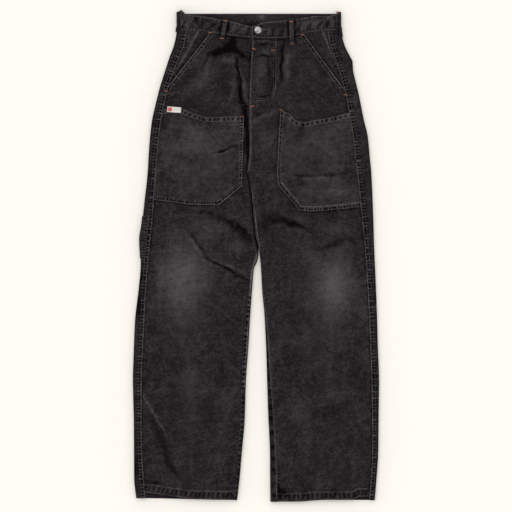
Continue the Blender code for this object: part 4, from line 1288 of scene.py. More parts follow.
@dataclass
class FrontPanel(ClothPiece):
    """One front, from the waist seam to the turned hem; the right one has the fly's underlap."""

    leg: Leg = Leg.RIGHT
    row_step: float = 1.6
    edge_strip: float = 15.4
    inner_strip: float = 56.0
    fine: float = 1.1
    inner_fine: float = 1.7
    wide: float = 2.9
    mouth_hem: float = 10.0

    def rows(self) -> Array:
        """Returns the rows' heights, from the waist to the hem."""
        end = HEM_LEVEL[self.leg]
        return np.linspace(WAIST_LEVEL, end, int((WAIST_LEVEL - end) / self.row_step) + 1)

    def outer_edge(self, y: Array) -> Array:
        """Returns the edge along the pocket mouth and, below it, the outseam."""
        (top_x, top_y), (low_x, low_y) = MOUTH[self.leg]
        line = mix(low_x, top_x, (y - low_y) / (top_y - low_y))
        seam = FORM.outseam[self.leg](y) - self.leg.outward * SEAM_GAP / 2
        return np.where(y >= low_y, line, mix(seam, low_x, smooth_step(low_y - 30.0, low_y, y)))

    def inner_edge(self, y: Array) -> Array:
        """Returns the edge along the centre and, below the crotch, the inseam."""
        gap = self.leg.outward * SEAM_GAP / 2
        edge = np.where(y > CROTCH, FORM.centre_seam(y), FORM.inseam[self.leg](y) + gap) + gap
        if self.leg is Leg.RIGHT:
            edge = mix(edge, UNDERLAP_END, smooth_step(FLY_END - 5.0, FLY_END + 15.0, y))
        return edge

    def details(self) -> Sequence[Detail]:
        """Returns what lies on the front."""
        leg, route = self.leg, outseam_route(self.leg)
        seed = 40 if leg is Leg.RIGHT else 60
        hem = hem_route(leg)
        inseam = y_route(FORM.inseam[leg], 188.0, HEM_LEVEL[leg] + 2.0)
        mouth_side = -1.0 if leg is Leg.LEFT else 1.0
        _, inner, bottom = ThighPocket("", leg=leg).border()
        border_side = -mouth_side
        # Painted shade beside the back's lap along the outseam, above the hem's edge, beside the pocket mouth
        # and along the patch pocket's inner and lower edges; pale lines of wear and painted highlight at the
        # hem and the mouth
        shared: tuple[Detail, ...] = (
            PaleOrDarkLine(route, leg.inward(8.7), 1.0, painted_shade=0.9, even=0.55, seed=seed),
            PaleOrDarkLine(hem, 0.4, 1.0, wear_and_highlight=0.5, even=0.3, seed=seed + 1),
            PaleOrDarkLine(hem, 2.2, 1.2, painted_shade=0.4, even=0.3, seed=seed + 2),
            Puckers(hem, -1.0, -15.0, 10.5, 1.0, 0.26, 0.45, seed=seed + 3, length=2.6, slant=0.1),
            PaleOrDarkLine(hem_route(leg, 1.2), 0.0, 1.1, wear_and_highlight=0.45, even=0.3, seed=seed + 4),
            SewnBand(mouth_route(leg), mouth_side, 8.2, seed + 5, edge=0.95, dents=1.5, rungs=0.7, far=0.35),
            PaleOrDarkLine(mouth_route(leg), mouth_side * 10.6, 1.4, painted_shade=0.3, even=0.4, seed=seed + 9),
            Puckers(inseam, leg.outward * 1.0, leg.outward * 7.0, 8.0, 0.45, 0.14, 0.3, seed=seed + 11),
            PaleOrDarkLine(inner, -border_side * 1.2, 1.6, painted_shade=0.8, even=0.6, seed=seed + 13),
            PaleOrDarkLine(bottom, -border_side * 1.4, 1.8, painted_shade=1.0, even=0.6, seed=seed + 14),
        )
        shared += loop_shadows(0.7)
        if leg is Leg.RIGHT:
            return shared + RIGHT_CREASES + self.right_details()
        return shared + LEFT_CREASES + self.left_details()

    def right_details(self) -> tuple[Detail, ...]:
        """Returns what lies on the right front alone: painted shade beside the fly, in the groove and under
        the band.
        """
        return (
            PaleOrDarkLine(centre_route(500.0, 330.0), -1.8, 1.3, painted_shade=0.75, even=0.5, seed=81),
            PaleOrDarkLine(GROOVE, -0.6, 2.0, painted_shade=1.1, lift=-0.4, even=0.8, seed=82),
            PaleOrDarkLine(self.waist_route(-172.0, -12.0), -2.0, 1.8, painted_shade=0.8, even=0.7, seed=83),
        )

    def left_details(self) -> tuple[Detail, ...]:
        """Returns what lies on the left front alone: the fly's edge, pale with wear and painted highlight,
        its curved stitching, painted shade under the band and dark spots of painted shade near the hem.
        """
        fly = fly_route()
        lap = centre_route(528.0, 196.0)
        return (
            PaleOrDarkLine(lap, 1.1, 1.0, wear_and_highlight=1.0, lift=0.1, even=0.5, seed=91),
            PaleOrDarkLine(y_route(FORM.inseam[Leg.LEFT], -130.0, -531.0), 0.8, 0.8, wear_and_highlight=0.5, even=0.3, seed=99),
            Puckers(
                y_route(FORM.inseam[Leg.LEFT], -470.0, -560.0), 1.5, 7.0, 7.0, 1.0, 0.1, 0.3, seed=90,
                length=2.0,
            ),
            Fade(58, -543, 14, 10, -1.3), Fade(42, -531, 9, 8, -1.2),
            PaleOrDarkLine(centre_route(345.0, 196.0), 3.4, 1.2, wear_and_highlight=0.2, even=0.2, seed=92),
            Puckers(lap, 2.0, 6.0, 6.8, 0.3, 0.12, 0.25, seed=93),
            PaleOrDarkLine(fly, 0.0, 0.9, wear_and_highlight=0.5, even=0.25, seed=94),
            Puckers(fly, -0.8, -7.0, 6.4, 1.1, 0.3, 0.4, seed=95),
            Puckers(fly, 0.8, 4.6, 6.8, 0.45, 0.15, 0.3, seed=96),
            PaleOrDarkLine(fly, -8.0, 1.6, painted_shade=0.25, even=0.3, seed=97),
            PaleOrDarkLine(self.waist_route(-6.0, 186.0), -2.0, 1.8, painted_shade=0.9, even=0.8, seed=98),
        )

    @staticmethod
    def waist_route(start: float, end: float) -> Route:
        """The waist seam, from one place across to another."""
        x = np.linspace(start, end, 24)
        return Route(np.stack([x, FORM.waist_seam(x)], axis=1))

    def column_gaps(self, width: Array) -> Array:
        """Returns the columns' distances from the outer edge, closer in the strips that carry sewing."""
        near = np.linspace(0.0, self.edge_strip, round(self.edge_strip / self.fine) + 1)
        far = np.linspace(-self.inner_strip, 0.0, round(self.inner_strip / self.inner_fine) + 1)
        rest = width - self.edge_strip - self.inner_strip
        share = np.linspace(0.0, 1.0, int(np.median(rest) / self.wide) + 1)[1:-1]
        middle = self.edge_strip + rest[:, None] * share
        left = np.broadcast_to(near, (len(width), near.size))
        return np.concatenate([left, middle, width[:, None] + far], axis=1)

    def wall(self) -> ClothWall:
        """Returns the front's wall."""
        rows, leg = self.rows(), self.leg
        first = self.outer_edge(FORM.waist_shift(self.outer_edge(rows), rows))
        gap = self.column_gaps(abs(self.inner_edge(rows) - first))
        x = first[:, None] - leg.outward * gap
        y = FORM.waist_shift(x, rows[:, None])
        end = HEM_LEVEL[leg]
        y = y + hem_line(leg, x) * smooth_step(end + 130.0, end, y)
        z = FORM.upper_face(leg, x, y)
        if leg is Leg.RIGHT:
            centre = FORM.centre_seam(y)
            under = (x > centre) & (y > FLY_END - 30.0)
            z = np.where(under, FORM.layer_height(leg, centre, y), z)
        hem = HEM_RISE * smooth_step(1.2, -0.6, y - (end + HEM_WIDTH) - hem_line(leg, x))
        low_y = MOUTH[leg][1][1]
        above_foot = smooth_step(low_y - 4.0, low_y + 4.0, y)
        mouth = FELL_RISE * smooth_step(self.mouth_hem + 0.8, self.mouth_hem - 0.6, gap) * above_foot
        marks = self.marks(x, y)
        outer = np.stack([x, y, z + hem + mouth + marks.lift], axis=2)
        return ClothWall(self.name, outer, CLOTH + hem + mouth, marks, INNER_COARSE)


@dataclass
class BackPanel(ClothPiece):
    """One back: over the front's outer edge, round the outer fold, along the floor, up the inner fold."""

    leg: Leg = Leg.RIGHT
    row_step: float = 1.5
    lap: float = 7.4
    lap_rise: float = 1.45
    pocket_rise: float = 1.95
    strip_columns: int = 21
    roll_columns: int = 8
    floor_columns: int = 4
    turn_columns: int = 4
    lip_columns: int = 8

    @cached_property
    def rows(self) -> Array:
        """The rows' heights as a column, from the waist to the leg's end."""
        end = HEM_LEVEL[self.leg]
        rows = np.linspace(WAIST_LEVEL, end, int((WAIST_LEVEL - end) / self.row_step) + 1)
        rows[np.argmin(abs(rows - CROTCH))] = CROTCH
        return rows[:, None]

    @property
    def centre(self) -> Array:
        """The middle of the outer fold's turn in each row."""
        return FORM.outer_fold[self.leg](self.rows) - self.leg.outward * FOLD_REACH

    def details(self) -> Sequence[Detail]:
        """Returns the felled outseam's sewing and the inseam's, with pale lines of wear and painted
        highlight, and painted shade in the dents and along the folds.
        """
        leg, end, route = self.leg, HEM_LEVEL[self.leg] + 2.0, outseam_route(self.leg)
        seed = 3 if leg is Leg.RIGHT else 23
        inner = y_route(FORM.inner_fold[leg], 192.0, 12.0, step=6.0)
        low_inner = y_route(FORM.inner_fold[leg], 4.0, -300.0)
        felled = y_route(FORM.inseam[leg], -90.0, end)
        own: tuple[Detail, ...] = (
            PaleOrDarkLine(inner, 2.6, 1.0, wear_and_highlight=0.85, even=0.45, seed=seed + 12),
            PaleOrDarkLine(inner, 0.4, 0.9, painted_shade=1.0, even=0.8, seed=seed + 13),
            PaleOrDarkLine(felled, -0.6, 0.9, wear_and_highlight=0.8, even=0.35, seed=seed + 14),
            Puckers(felled, -2.0, -12.0, 30.0, 1.3, 0.0, 0.2, seed=seed + 8, length=5.0),
            Puckers(
                y_route(FORM.inseam[leg], -160.0, -390.0), -2.0, -8.0, 11.0, 1.1, 0.1, 0.3,
                seed=seed + 9, length=2.6,
            ),
        )
        if leg is Leg.RIGHT:
            own = (
                PaleOrDarkLine(inner, -1.6, 2.7, painted_shade=1.6, even=0.9, seed=seed + 12),
                PaleOrDarkLine(low_inner, -4.0, 1.2, wear_and_highlight=1.3, even=0.5, seed=seed + 14),
                PaleOrDarkLine(low_inner, -0.6, 1.0, painted_shade=0.8, even=0.7, seed=seed + 15),
                Puckers(felled, 0.5, 9.0, 11.0, 1.5, 0.3, 0.3, seed=seed + 8, length=2.7),
                # Dark patches of painted shade along the outer fold, and one pale patch
                Fade(-257, -20, 9, 18, 0.20), Fade(-266, -50, 6, 9, -0.9), Fade(-269, -115, 6, 26, -0.8),
                Fade(-277, -490, 5, 28, -0.8), Fade(-262, 10, 8, 3, -0.9),
                PaleOrDarkLine(Route(((-268.0, -10.0), (-250.0, -9.0))), 0.0, 1.0, wear_and_highlight=0.6, seed=seed + 16),
            )
        fold = y_route(FORM.outer_fold[leg], 514.0, end)
        return own + (
            Puckers(route, leg.inward(5.4), leg.inward(-0.2), 7.2, 2.4, 0.75, 0.5, seed=seed, length=1.75),
            Puckers(route, leg.inward(0.0), leg.inward(-7.5), 7.2, 0.8, 0.28, 0.4, seed=seed, length=1.5),
            PaleOrDarkLine(route, leg.inward(6.8), 0.95, wear_and_highlight=0.68, even=0.25, seed=seed + 4),
            PaleOrDarkLine(route, leg.inward(-3.4), 3.2, painted_shade=0.35, even=0.2, seed=seed + 6),
            PaleOrDarkLine(fold, leg.inward(0.9), 1.8, painted_shade=0.75, even=0.7, seed=seed + 7),
            Puckers(hem_route(leg), -1.0, -14.0, 6.4, 0.7, 0.2, 0.3, seed=seed + 11),
        )

    def strip(self) -> Grid:
        """Returns the strip on top, from the lap over the front to the fold."""
        leg, out, seam = self.leg, self.leg.outward, FORM.outseam[self.leg](self.rows)
        x = mix(seam - out * self.lap, self.centre, np.linspace(0.0, 1.0, self.strip_columns)[None, :])
        y = FORM.waist_shift(x, self.rows)
        beyond = (x - seam) * out
        corner, foot = (
            POCKET_EDGES[leg][edge][0 if leg is Leg.RIGHT else -1][1] for edge in ("top", "bottom")
        )
        on_pocket = smooth_step(corner + 4.0, corner, y) * smooth_step(foot - 5.0, foot - 1.0, y)
        lap = self.lap_rise + self.pocket_rise * on_pocket
        rise = mix(lap, FELL_RISE, smooth_step(-1.2, 2.4, beyond)) * smooth_step(7.5, 5.0, beyond)
        rise = rise - 0.4 * smooth_step(1.2 - self.lap, -self.lap, beyond)
        hem = 0.5 * smooth_step(1.0, -1.0, y - HEM_LEVEL[leg] - HEM_WIDTH)
        return x, y, FORM.upper_face(leg, x, y) + rise + hem

    def roll(self) -> Grid:
        """Returns half an ellipse round the outer fold, down to the floor."""
        share = steps(self.roll_columns)
        angle = math.pi * (0.5 - share)
        x = self.centre + self.leg.outward * FOLD_REACH * np.cos(angle)
        low_y = FORM.waist_shift(self.centre, self.rows, 1.0)
        y = mix(FORM.waist_shift(self.centre, self.rows), low_y, share)
        top = FORM.layer_height(self.leg, self.centre, self.rows)
        return x, y, np.maximum(0.0, top / 2 * (1.0 + np.sin(angle)))

    def floor(self) -> Grid:
        """Returns the flat part on the floor, to the centre seam or the inner fold."""
        out, rows = self.leg.outward, self.rows
        fold = FORM.inner_fold[self.leg](rows) + out * FOLD_REACH
        inner = np.where(rows > CROTCH, FORM.centre_seam(rows) + out * SEAM_GAP / 2, fold)
        x = mix(self.centre, inner, steps(self.floor_columns))
        y = np.broadcast_to(FORM.waist_shift(self.centre, rows, 1.0), x.shape)
        return x, y, np.zeros(x.shape)

    def turn(self) -> Grid:
        """Returns the inner fold, and the strip above it up to the inseam."""
        leg, out, rows = self.leg, self.leg.outward, self.rows
        fold = FORM.inner_fold[leg](rows)
        angle = math.pi / 2 * (steps(self.turn_columns) - 1.0)
        turn_x = fold + out * FOLD_REACH * (1.0 - np.cos(angle))
        turn_z = FORM.layer_height(leg, fold + out * FOLD_REACH, rows) / 2 * (1.0 + np.sin(angle))
        seam, share = FORM.inseam[leg](rows) - out * SEAM_GAP / 2, steps(self.lip_columns)
        lip_x, reach = mix(fold, seam, share), abs(seam - fold)
        felled = smooth_step(1.0, 3.0, reach) * (1.0 - smooth_step(2.0, 9.0, reach * (1.0 - share)))
        lip_z = FORM.upper_face(leg, lip_x, rows) + FELL_RISE * felled
        x = np.concatenate([turn_x, lip_x], axis=1)
        return x, np.broadcast_to(rows, x.shape), np.concatenate([turn_z, lip_z], axis=1)

    def wall(self) -> ClothWall:
        """Returns the back's wall; above the crotch it ends at the centre seam."""
        parts = (self.strip(), self.roll(), self.floor(), self.turn())
        x, y, z = (np.concatenate([part[k] for part in parts], axis=1) for k in range(3))
        end = HEM_LEVEL[self.leg]
        y = y + leg_end(self.leg, x) * smooth_step(end + 130.0, end, y)
        half = self.roll_columns // 2
        weight = np.zeros(x.shape)
        weight[:, : self.strip_columns] = weight[:, -self.lip_columns :] = 1.0
        weight[:, self.strip_columns : self.strip_columns + half] = np.linspace(0.8, 0.1, half)
        marks = self.marks(np.where(weight > 0.0, x, HIDDEN), y)
        marks.lift *= weight
        present = np.ones((x.shape[0] - 1, x.shape[1] - 1), bool)
        floor_end = self.strip_columns + self.roll_columns + self.floor_columns
        present[self.rows[:-1, 0] > CROTCH, floor_end - 1 :] = False
        outer = np.stack([x, y, np.maximum(0.0, z + marks.lift)], axis=2)
        return ClothWall(self.name, outer, CLOTH, marks, present=present)


@dataclass
class Waistband(ClothPiece):
    """One strip from the lapping left end, round both sides, to the end under the lap."""

    row_count: int = 24
    top_columns: int = 128
    roll_columns: int = 8
    floor_columns: int = 110
    tuck: float = 2.5
    edge_round: float = 2.0

    def stations(self) -> tuple[Array, Array, Array, Array]:
        """Places along the band.

        Returns:
            Their x, height, lower edge and upper edge.
        """
        left = np.linspace(FLY_EDGE + 1e-6, BAND_SIDE_LEFT - FOLD_REACH, self.top_columns)
        left_z = FORM.band_face(left) + FORM.fly_lift(left, WAIST_LEVEL, BAND_LAP_LIFT)
        left_low, left_high = FORM.waist_seam(left), FORM.band_top(left)
        share = np.arange(1, self.roll_columns + 1) / self.roll_columns
        down = math.pi * (0.5 - share)
        roll_x = BAND_SIDE_LEFT - FOLD_REACH * (1.0 - np.cos(down))
        roll_z = left_z[-1] / 2 * (1.0 + np.sin(down))
        corner = BAND_SIDE_RIGHT + FOLD_REACH
        floor_x = np.linspace(BAND_SIDE_LEFT - FOLD_REACH, corner, self.floor_columns)[1:]
        floor = np.zeros(floor_x.shape)
        up = math.pi * (share - 0.5)
        turn_x = BAND_SIDE_RIGHT + FOLD_REACH * (1.0 - np.cos(up))
        turn_z = float(FORM.band_face(corner)) / 2 * (1.0 + np.sin(up))
        corner_low, corner_high = float(FORM.waist_seam(corner)), float(FORM.band_top(corner))
        right = np.linspace(corner, UNDERLAP_END, self.top_columns)[1:]
        held = np.minimum(right, FLY_EDGE)
        tuck = self.tuck * smooth_step(2.0 * FLY_EDGE, FLY_EDGE, right)
        lows = [
            left_low, mix(left_low[-1], WAIST_SEAM_BACK, share), floor + WAIST_SEAM_BACK,
            mix(WAIST_SEAM_BACK, corner_low, share), FORM.waist_seam(right),
        ]
        highs = [
            left_high, mix(left_high[-1], BACK_BAND_TOP, share), floor + BACK_BAND_TOP,
            mix(BACK_BAND_TOP, corner_high, share), FORM.band_top(held) - tuck,
        ]
        xs = [left, roll_x, floor_x, turn_x, right]
        zs = [left_z, roll_z, floor, turn_z, FORM.band_face(held)]
        return np.concatenate(xs), np.concatenate(zs), np.concatenate(lows), np.concatenate(highs)

    def edge(self, start: float, end: float, top: bool) -> Route:
        """An edge of the band on top of the garment, from one place across to another."""
        x = np.linspace(start, end, 40)
        return Route(np.stack([x, (FORM.band_top if top else FORM.waist_seam)(x)], axis=1))

    def details(self) -> Sequence[Detail]:
        """Returns the band's edges, pale with wear and painted highlight, its puckered rows and dents,
        creases with painted shade and painted highlight, and painted shadows beside the loops.
        """
        low, high = self.edge(-178.0, 190.0, False), self.edge(-178.0, 190.0, True)
        lap = Route(((FLY_EDGE, 530.0), (FLY_EDGE, 500.0)))
        return (
            PaleOrDarkLine(high, -1.0, 1.0, wear_and_highlight=0.6, even=0.3, seed=101),
            Puckers(high, -1.5, -8.5, 9.0, 0.6, 0.28, 0.4, seed=102, length=1.9, slant=0.3),
            PaleOrDarkLine(low, 1.3, 1.1, wear_and_highlight=0.26, even=0.1, seed=103),
            Puckers(low, 1.6, 9.5, 7.4, 0.62, 0.34, 0.4, seed=104, length=1.9, slant=-0.2),
            Puckers(low, 6.0, 24.0, 21.0, 0.7, 0.2, 0.6, seed=107, length=4.0, slant=0.5),
            PaleOrDarkLine(low, 9.6, 1.2, wear_and_highlight=0.2, even=0.1, seed=105),
            PaleOrDarkLine(lap, 1.0, 1.0, wear_and_highlight=0.8, even=0.6, seed=106),
            Crease(-142, 552, -135, 540, -130, 526, 4.0, -0.8, 0.9),
            Crease(-150, 552, -146, 540, -140, 528, 4.0, 0.5, 0.0, 0.25),
            Crease(-176, 548, -166, 534, -158, 524, 5.0, 0.4, 0.0, 0.22),
            Crease(-120, 546, -100, 534, -84, 520, 5.0, -0.4, 0.4),
            Crease(-60, 532, -40, 526, -16, 520, 5.0, 0.3, 0.0, 0.2),
            Crease(-40, 512, -24, 508, -10, 506, 5.0, -0.3, 0.35),
            Crease(40, 530, 60, 528, 74, 524, 5.0, -0.3, 0.3),
            Crease(94, 530, 130, 538, 170, 540, 6.0, 0.3, 0.0, 0.2),
            Crease(150, 552, 158, 540, 164, 528, 4.0, -0.5, 0.45),
            Crease(168, 548, 174, 536, 178, 526, 4.0, 0.4, 0.0, 0.25),
            Fade(-165, 538, 14, 14, 0.14),
            Fade(120, 532, 40, 8, 0.09),
            *loop_shadows(0.9),
        )

    def back_details(self) -> Sequence[Detail]:
        """Returns what shows on the inside of the back's band, with painted shade along the front band's top
        edge.
        """
        top = Route(((-150.0, BACK_BAND_TOP), (150.0, BACK_BAND_TOP)))
        return (
            PaleOrDarkLine(top, -1.4, 1.2, wear_and_highlight=0.2, even=0.4, seed=111),
            Puckers(top, -20.0, -14.0, 6.4, 0.7, 0.25, 0.3, seed=112),
            PaleOrDarkLine(Route(((12.5, 556.0), (14.0, 541.0))), 0.0, 2.2, wear_and_highlight=0.5, even=0.4, seed=113),
            PaleOrDarkLine(Route(((-150.0, 531.0), (150.0, 531.0))), 0.0, 5.0, painted_shade=0.55, even=0.8, seed=114),
            Fade(20.0, 548.0, 60.0, 6.0, 0.13),
            Fade(13.0, 550.0, 7.0, 6.0, 0.3),
        )

    def wall(self) -> ClothWall:
        """Returns the band's wall."""
        x, z, low, high = self.stations()
        share = np.linspace(1.0, 0.0, self.row_count)[:, None]
        y = mix(low, high, share)
        x, z = np.broadcast_arrays(x, z + share * 0.0)
        on_top = z > 3.0
        marks = self.marks(np.where(on_top, x, HIDDEN), y)
        edge = np.minimum(abs(y - low), abs(high - y))
        round_off = 0.6 * (1.0 - smooth_step(0.0, self.edge_round, edge)) * on_top
        outer = np.stack([x, y, np.maximum(0.0, z + marks.lift * on_top - round_off)], axis=2)
        inside = Marks.blank(x.shape)
        for detail in self.back_details():
            detail.mark(np.where(on_top, HIDDEN, x), y, inside)
        return ClothWall(self.name, outer, BAND_CLOTH, marks, inside_marks=inside)


@dataclass
class PocketFacing(ClothPiece):
    """The cloth in a slanted pocket mouth, level at the outseam and under the front inside."""

    leg: Leg = Leg.RIGHT
    under: float = 24.0
    ramp: float = 5.0
    columns: int = 64
    row_count: int = 84

    def details(self) -> Sequence[Detail]:
        """Returns painted shade at the pocket's mouth and beside the outseam, and the ridge on the facing,
        with painted highlight on it and painted shade beside it.
        """
        leg = self.leg
        mouth = mouth_route(leg)
        side = -1.0 if leg is Leg.LEFT else 1.0
        ridge = (
            Route.smooth((-130.0, 520.0), (-158.0, 466.0), (-189.5, 418.6))
            if leg is Leg.RIGHT
            else Route.smooth((150.0, 520.0), (172.0, 466.0), (196.0, 414.0))
        )
        return (
            PaleOrDarkLine(mouth, -side * 2.0, 1.8, painted_shade=0.55, even=0.6, seed=121),
            PaleOrDarkLine(ridge, 0.0, 1.6, wear_and_highlight=0.38, lift=0.5, even=0.3, seed=122),
            PaleOrDarkLine(ridge, -side * 2.6, 2.6, wear_and_highlight=0.26, even=0.6, seed=126),
            PaleOrDarkLine(ridge, 3.4 * side, 1.8, painted_shade=0.4, lift=-0.3, even=0.4, seed=123),
            PaleOrDarkLine(outseam_route(leg, 514.0, 392.0), leg.inward(8.8), 1.1, painted_shade=0.8, even=0.6, seed=124),
            Puckers(
                outseam_route(leg, 514.0, 400.0), leg.inward(9.0), leg.inward(15.0), 6.4, 0.5, 0.15, 0.3,
                seed=125,
            ),
        )

    def wall(self) -> ClothWall:
        """Returns the facing's wall."""
        (top_x, top_y), (low_x, low_y) = MOUTH[self.leg]
        inwards = -self.leg.outward
        rows = np.linspace(WAIST_LEVEL, low_y + 5.0, self.row_count)
        seam = FORM.outseam[self.leg](rows) + inwards * SEAM_GAP / 2
        line_y = FORM.waist_shift(mix(low_x, top_x, (rows - low_y) / (top_y - low_y)), rows)
        line = mix(low_x, top_x, (line_y - low_y) / (top_y - low_y))
        share = np.linspace(0.0, 1.0, self.columns)[None, :]
        x = mix(seam[:, None], (line + inwards * self.under)[:, None], share)
        y = FORM.waist_shift(x, rows[:, None])
        ramp = np.minimum(self.ramp, abs(line - seam)[:, None] * 0.5)
        before = (line[:, None] - x) * inwards / ramp
        sink = (CLOTH + LIE_GAP) * (1.0 - smooth_step(0.3, 1.15, before))
        marks = self.marks(x, y)
        marks.lift *= smooth_step(0.2, 1.0, before)
        outer = np.stack([x, y, FORM.upper_face(self.leg, x, y) - sink + marks.lift], axis=2)
        return ClothWall(self.name, outer, CLOTH, marks, INNER_COARSE)


@dataclass
class ThighPocket(ClothPiece):
    """A large patch pocket with a turned top hem, its outer side sewn in at the outseam."""

    leg: Leg = Leg.RIGHT
    columns: int = 132
    row_count: int = 134
    puff: float = 0.8
    hem_share: float = 0.058
    seed: int = 131

    @staticmethod
    def broken_line(points: Table, along_y: bool, at: Array) -> Array:
        """Reads a line of straight stretches.

        Args:
            points: Its corners, as x and y.
            along_y: Reads x over y and not y over x.
            at: Where to read it.

        Returns:
            The line's values there.
        """
        pairs = sorted((y, x) if along_y else (x, y) for x, y in points)
        places, values = zip(*pairs)
        return np.interp(at, places, values)

    def place(self, across: Array, down: Array) -> tuple[Array, Array]:
        """Finds the pocket's points in plan from their shares across and down."""
        edges = POCKET_EDGES[self.leg]
        y = mix(*POCKET_LEVELS, down)
        for _ in range(4):
            outer = FORM.outseam[self.leg](y) - self.leg.outward * 1.0
            x = mix(outer, self.broken_line(edges["inner"], True, y), across)
            top = self.broken_line(edges["top"], False, x)
            y = mix(top, self.broken_line(edges["bottom"], False, x), down)
        return x, y

    def border(self) -> tuple[Route, Route, Route]:
        """Returns the top, inner and lower edges, from the outseam inwards and downwards."""
        t, o = np.linspace(0.0, 1.0, 60), np.zeros(60)
        return tuple(
            Route(np.stack(self.place(a, d), axis=1)) for a, d in ((t, o), (o + 1.0, t), (t[::-1], o + 1.0))
        )

    def details(self) -> Sequence[Detail]:
        """Returns the pocket's double-stitched border and its creases, with painted shade below the top hem.
        """
        top, inner, bottom = self.border()
        side = -1.0 if self.leg is Leg.RIGHT else 1.0
        seed = self.seed + (0 if self.leg is Leg.RIGHT else 30)
        creases: tuple[Detail, ...] = (
            Crease(-102, 237, -78, 243, -50, 251, 2.8, -0.7, 1.1),
            Crease(-60, 250, -50, 251, -34, 247, 2.4, -0.5, 0.8),
            Crease(-96, 236, -78, 238, -56, 244, 3.0, 0.4, 0.0, 0.2),
            Crease(-180, 310, -150, 290, -140, 260, 12, 0.3, 0.0, 0.14),
            Crease(-230, 230, -150, 222, -60, 214, 7, -0.3, 0.2),
            Crease(-210, 250, -140, 244, -90, 236, 8, 0.3, 0.0, 0.12),
            Crease(-190, 170, -130, 176, -70, 166, 9, -0.3, 0.14),
            Crease(-222, 300, -205, 270, -190, 240, 12, -0.3, 0.16),
            Fade(-145, 270, 60, 45, 0.07), Fade(-205, 290, 30, 30, -0.10), Fade(-120, 190, 70, 30, 0.05),
        )
        if self.leg is Leg.LEFT:
            creases = (
                Crease(50, 200, 110, 184, 180, 190, 2.6, -0.5, 0.6),
                Crease(150, 186, 195, 190, 236, 203, 2.6, -0.5, 0.55),
                Crease(66, 188, 118, 177, 172, 181, 4.0, 0.3, 0.0, 0.14),
                Crease(96, 300, 104, 290, 110, 284, 7, -0.4, 0.4),
                Crease(74, 318, 86, 304, 96, 296, 5, 0.4, 0.0, 0.2),
                Crease(110, 250, 160, 246, 210, 252, 8, -0.3, 0.14),
                Crease(100, 150, 150, 146, 210, 150, 9, 0.3, 0.0, 0.1), Fade(140, 260, 60, 40, 0.07),
                Fade(100, 220, 30, 50, -0.08), Fade(190, 160, 40, 30, 0.05),
            )
        lower: tuple[Detail, ...] = (
            SewnBand(bottom, side, 9.4, seed + 8, 6.2, edge=0.9, dents=1.9, rungs=0.4, far=0.25, length=1.4),
        )
        if self.leg is Leg.LEFT:
            lower = (
                SewnBand(
                    bottom, side, 7.6, seed + 8, 6.8, edge=0.3, dents=1.8, rungs=0.45, far=0.0, length=1.5
                ),
                PaleOrDarkLine(bottom, side * 10.4, 1.0, wear_and_highlight=0.8, even=0.55, seed=seed + 15),
            )
        return creases + (
            SewnBand(top, side, 10.0, seed, 11.0, edge=0.55, dents=1.15, rungs=0.35, far=0.35, length=2.2),
            SewnBand(inner, side, 6.4, seed + 4, 6.2, edge=0.95, dents=1.6, rungs=0.6, far=0.25),
            *lower,
            PaleOrDarkLine(top, side * 13.4, 1.4, painted_shade=0.35, even=0.4, seed=seed + 12),
        )

    def wall(self) -> ClothWall:
        """Returns the pocket's wall."""
        across = np.linspace(0.0, 1.0, self.columns)[None, :]
        down = np.linspace(0.0, 1.0, self.row_count)[:, None]
        x, y = self.place(across, down + across * 0.0)
        z = FORM.upper_face(self.leg, x, y)
        puff = self.puff * np.sin(math.pi * across) * np.sin(math.pi * down) ** 0.5
        hem = HEM_RISE * smooth_step(self.hem_share + 0.006, self.hem_share - 0.006, down) + across * 0.0
        marks = self.marks(x, y)
        wide, fine = cloud(x, y, 44.0, self.seed), cloud(x, y, 9.0, self.seed + 5)
        marks.wear_and_highlight += 0.075 + 0.13 * (wide - 0.45) + 0.11 * (fine - 0.5)
        edge = np.minimum((1.0 - across) * 230.0, np.minimum(down, 1.0 - down) * 200.0)
        round_off = 0.45 * (1.0 - smooth_step(0.0, 1.8, edge))
        outer = np.stack([x, y, z + LIE_GAP + CLOTH + puff + hem + marks.lift - round_off], axis=2)
        return ClothWall(self.name, outer, CLOTH + hem - round_off * 0.5, marks, INNER_COARSE)


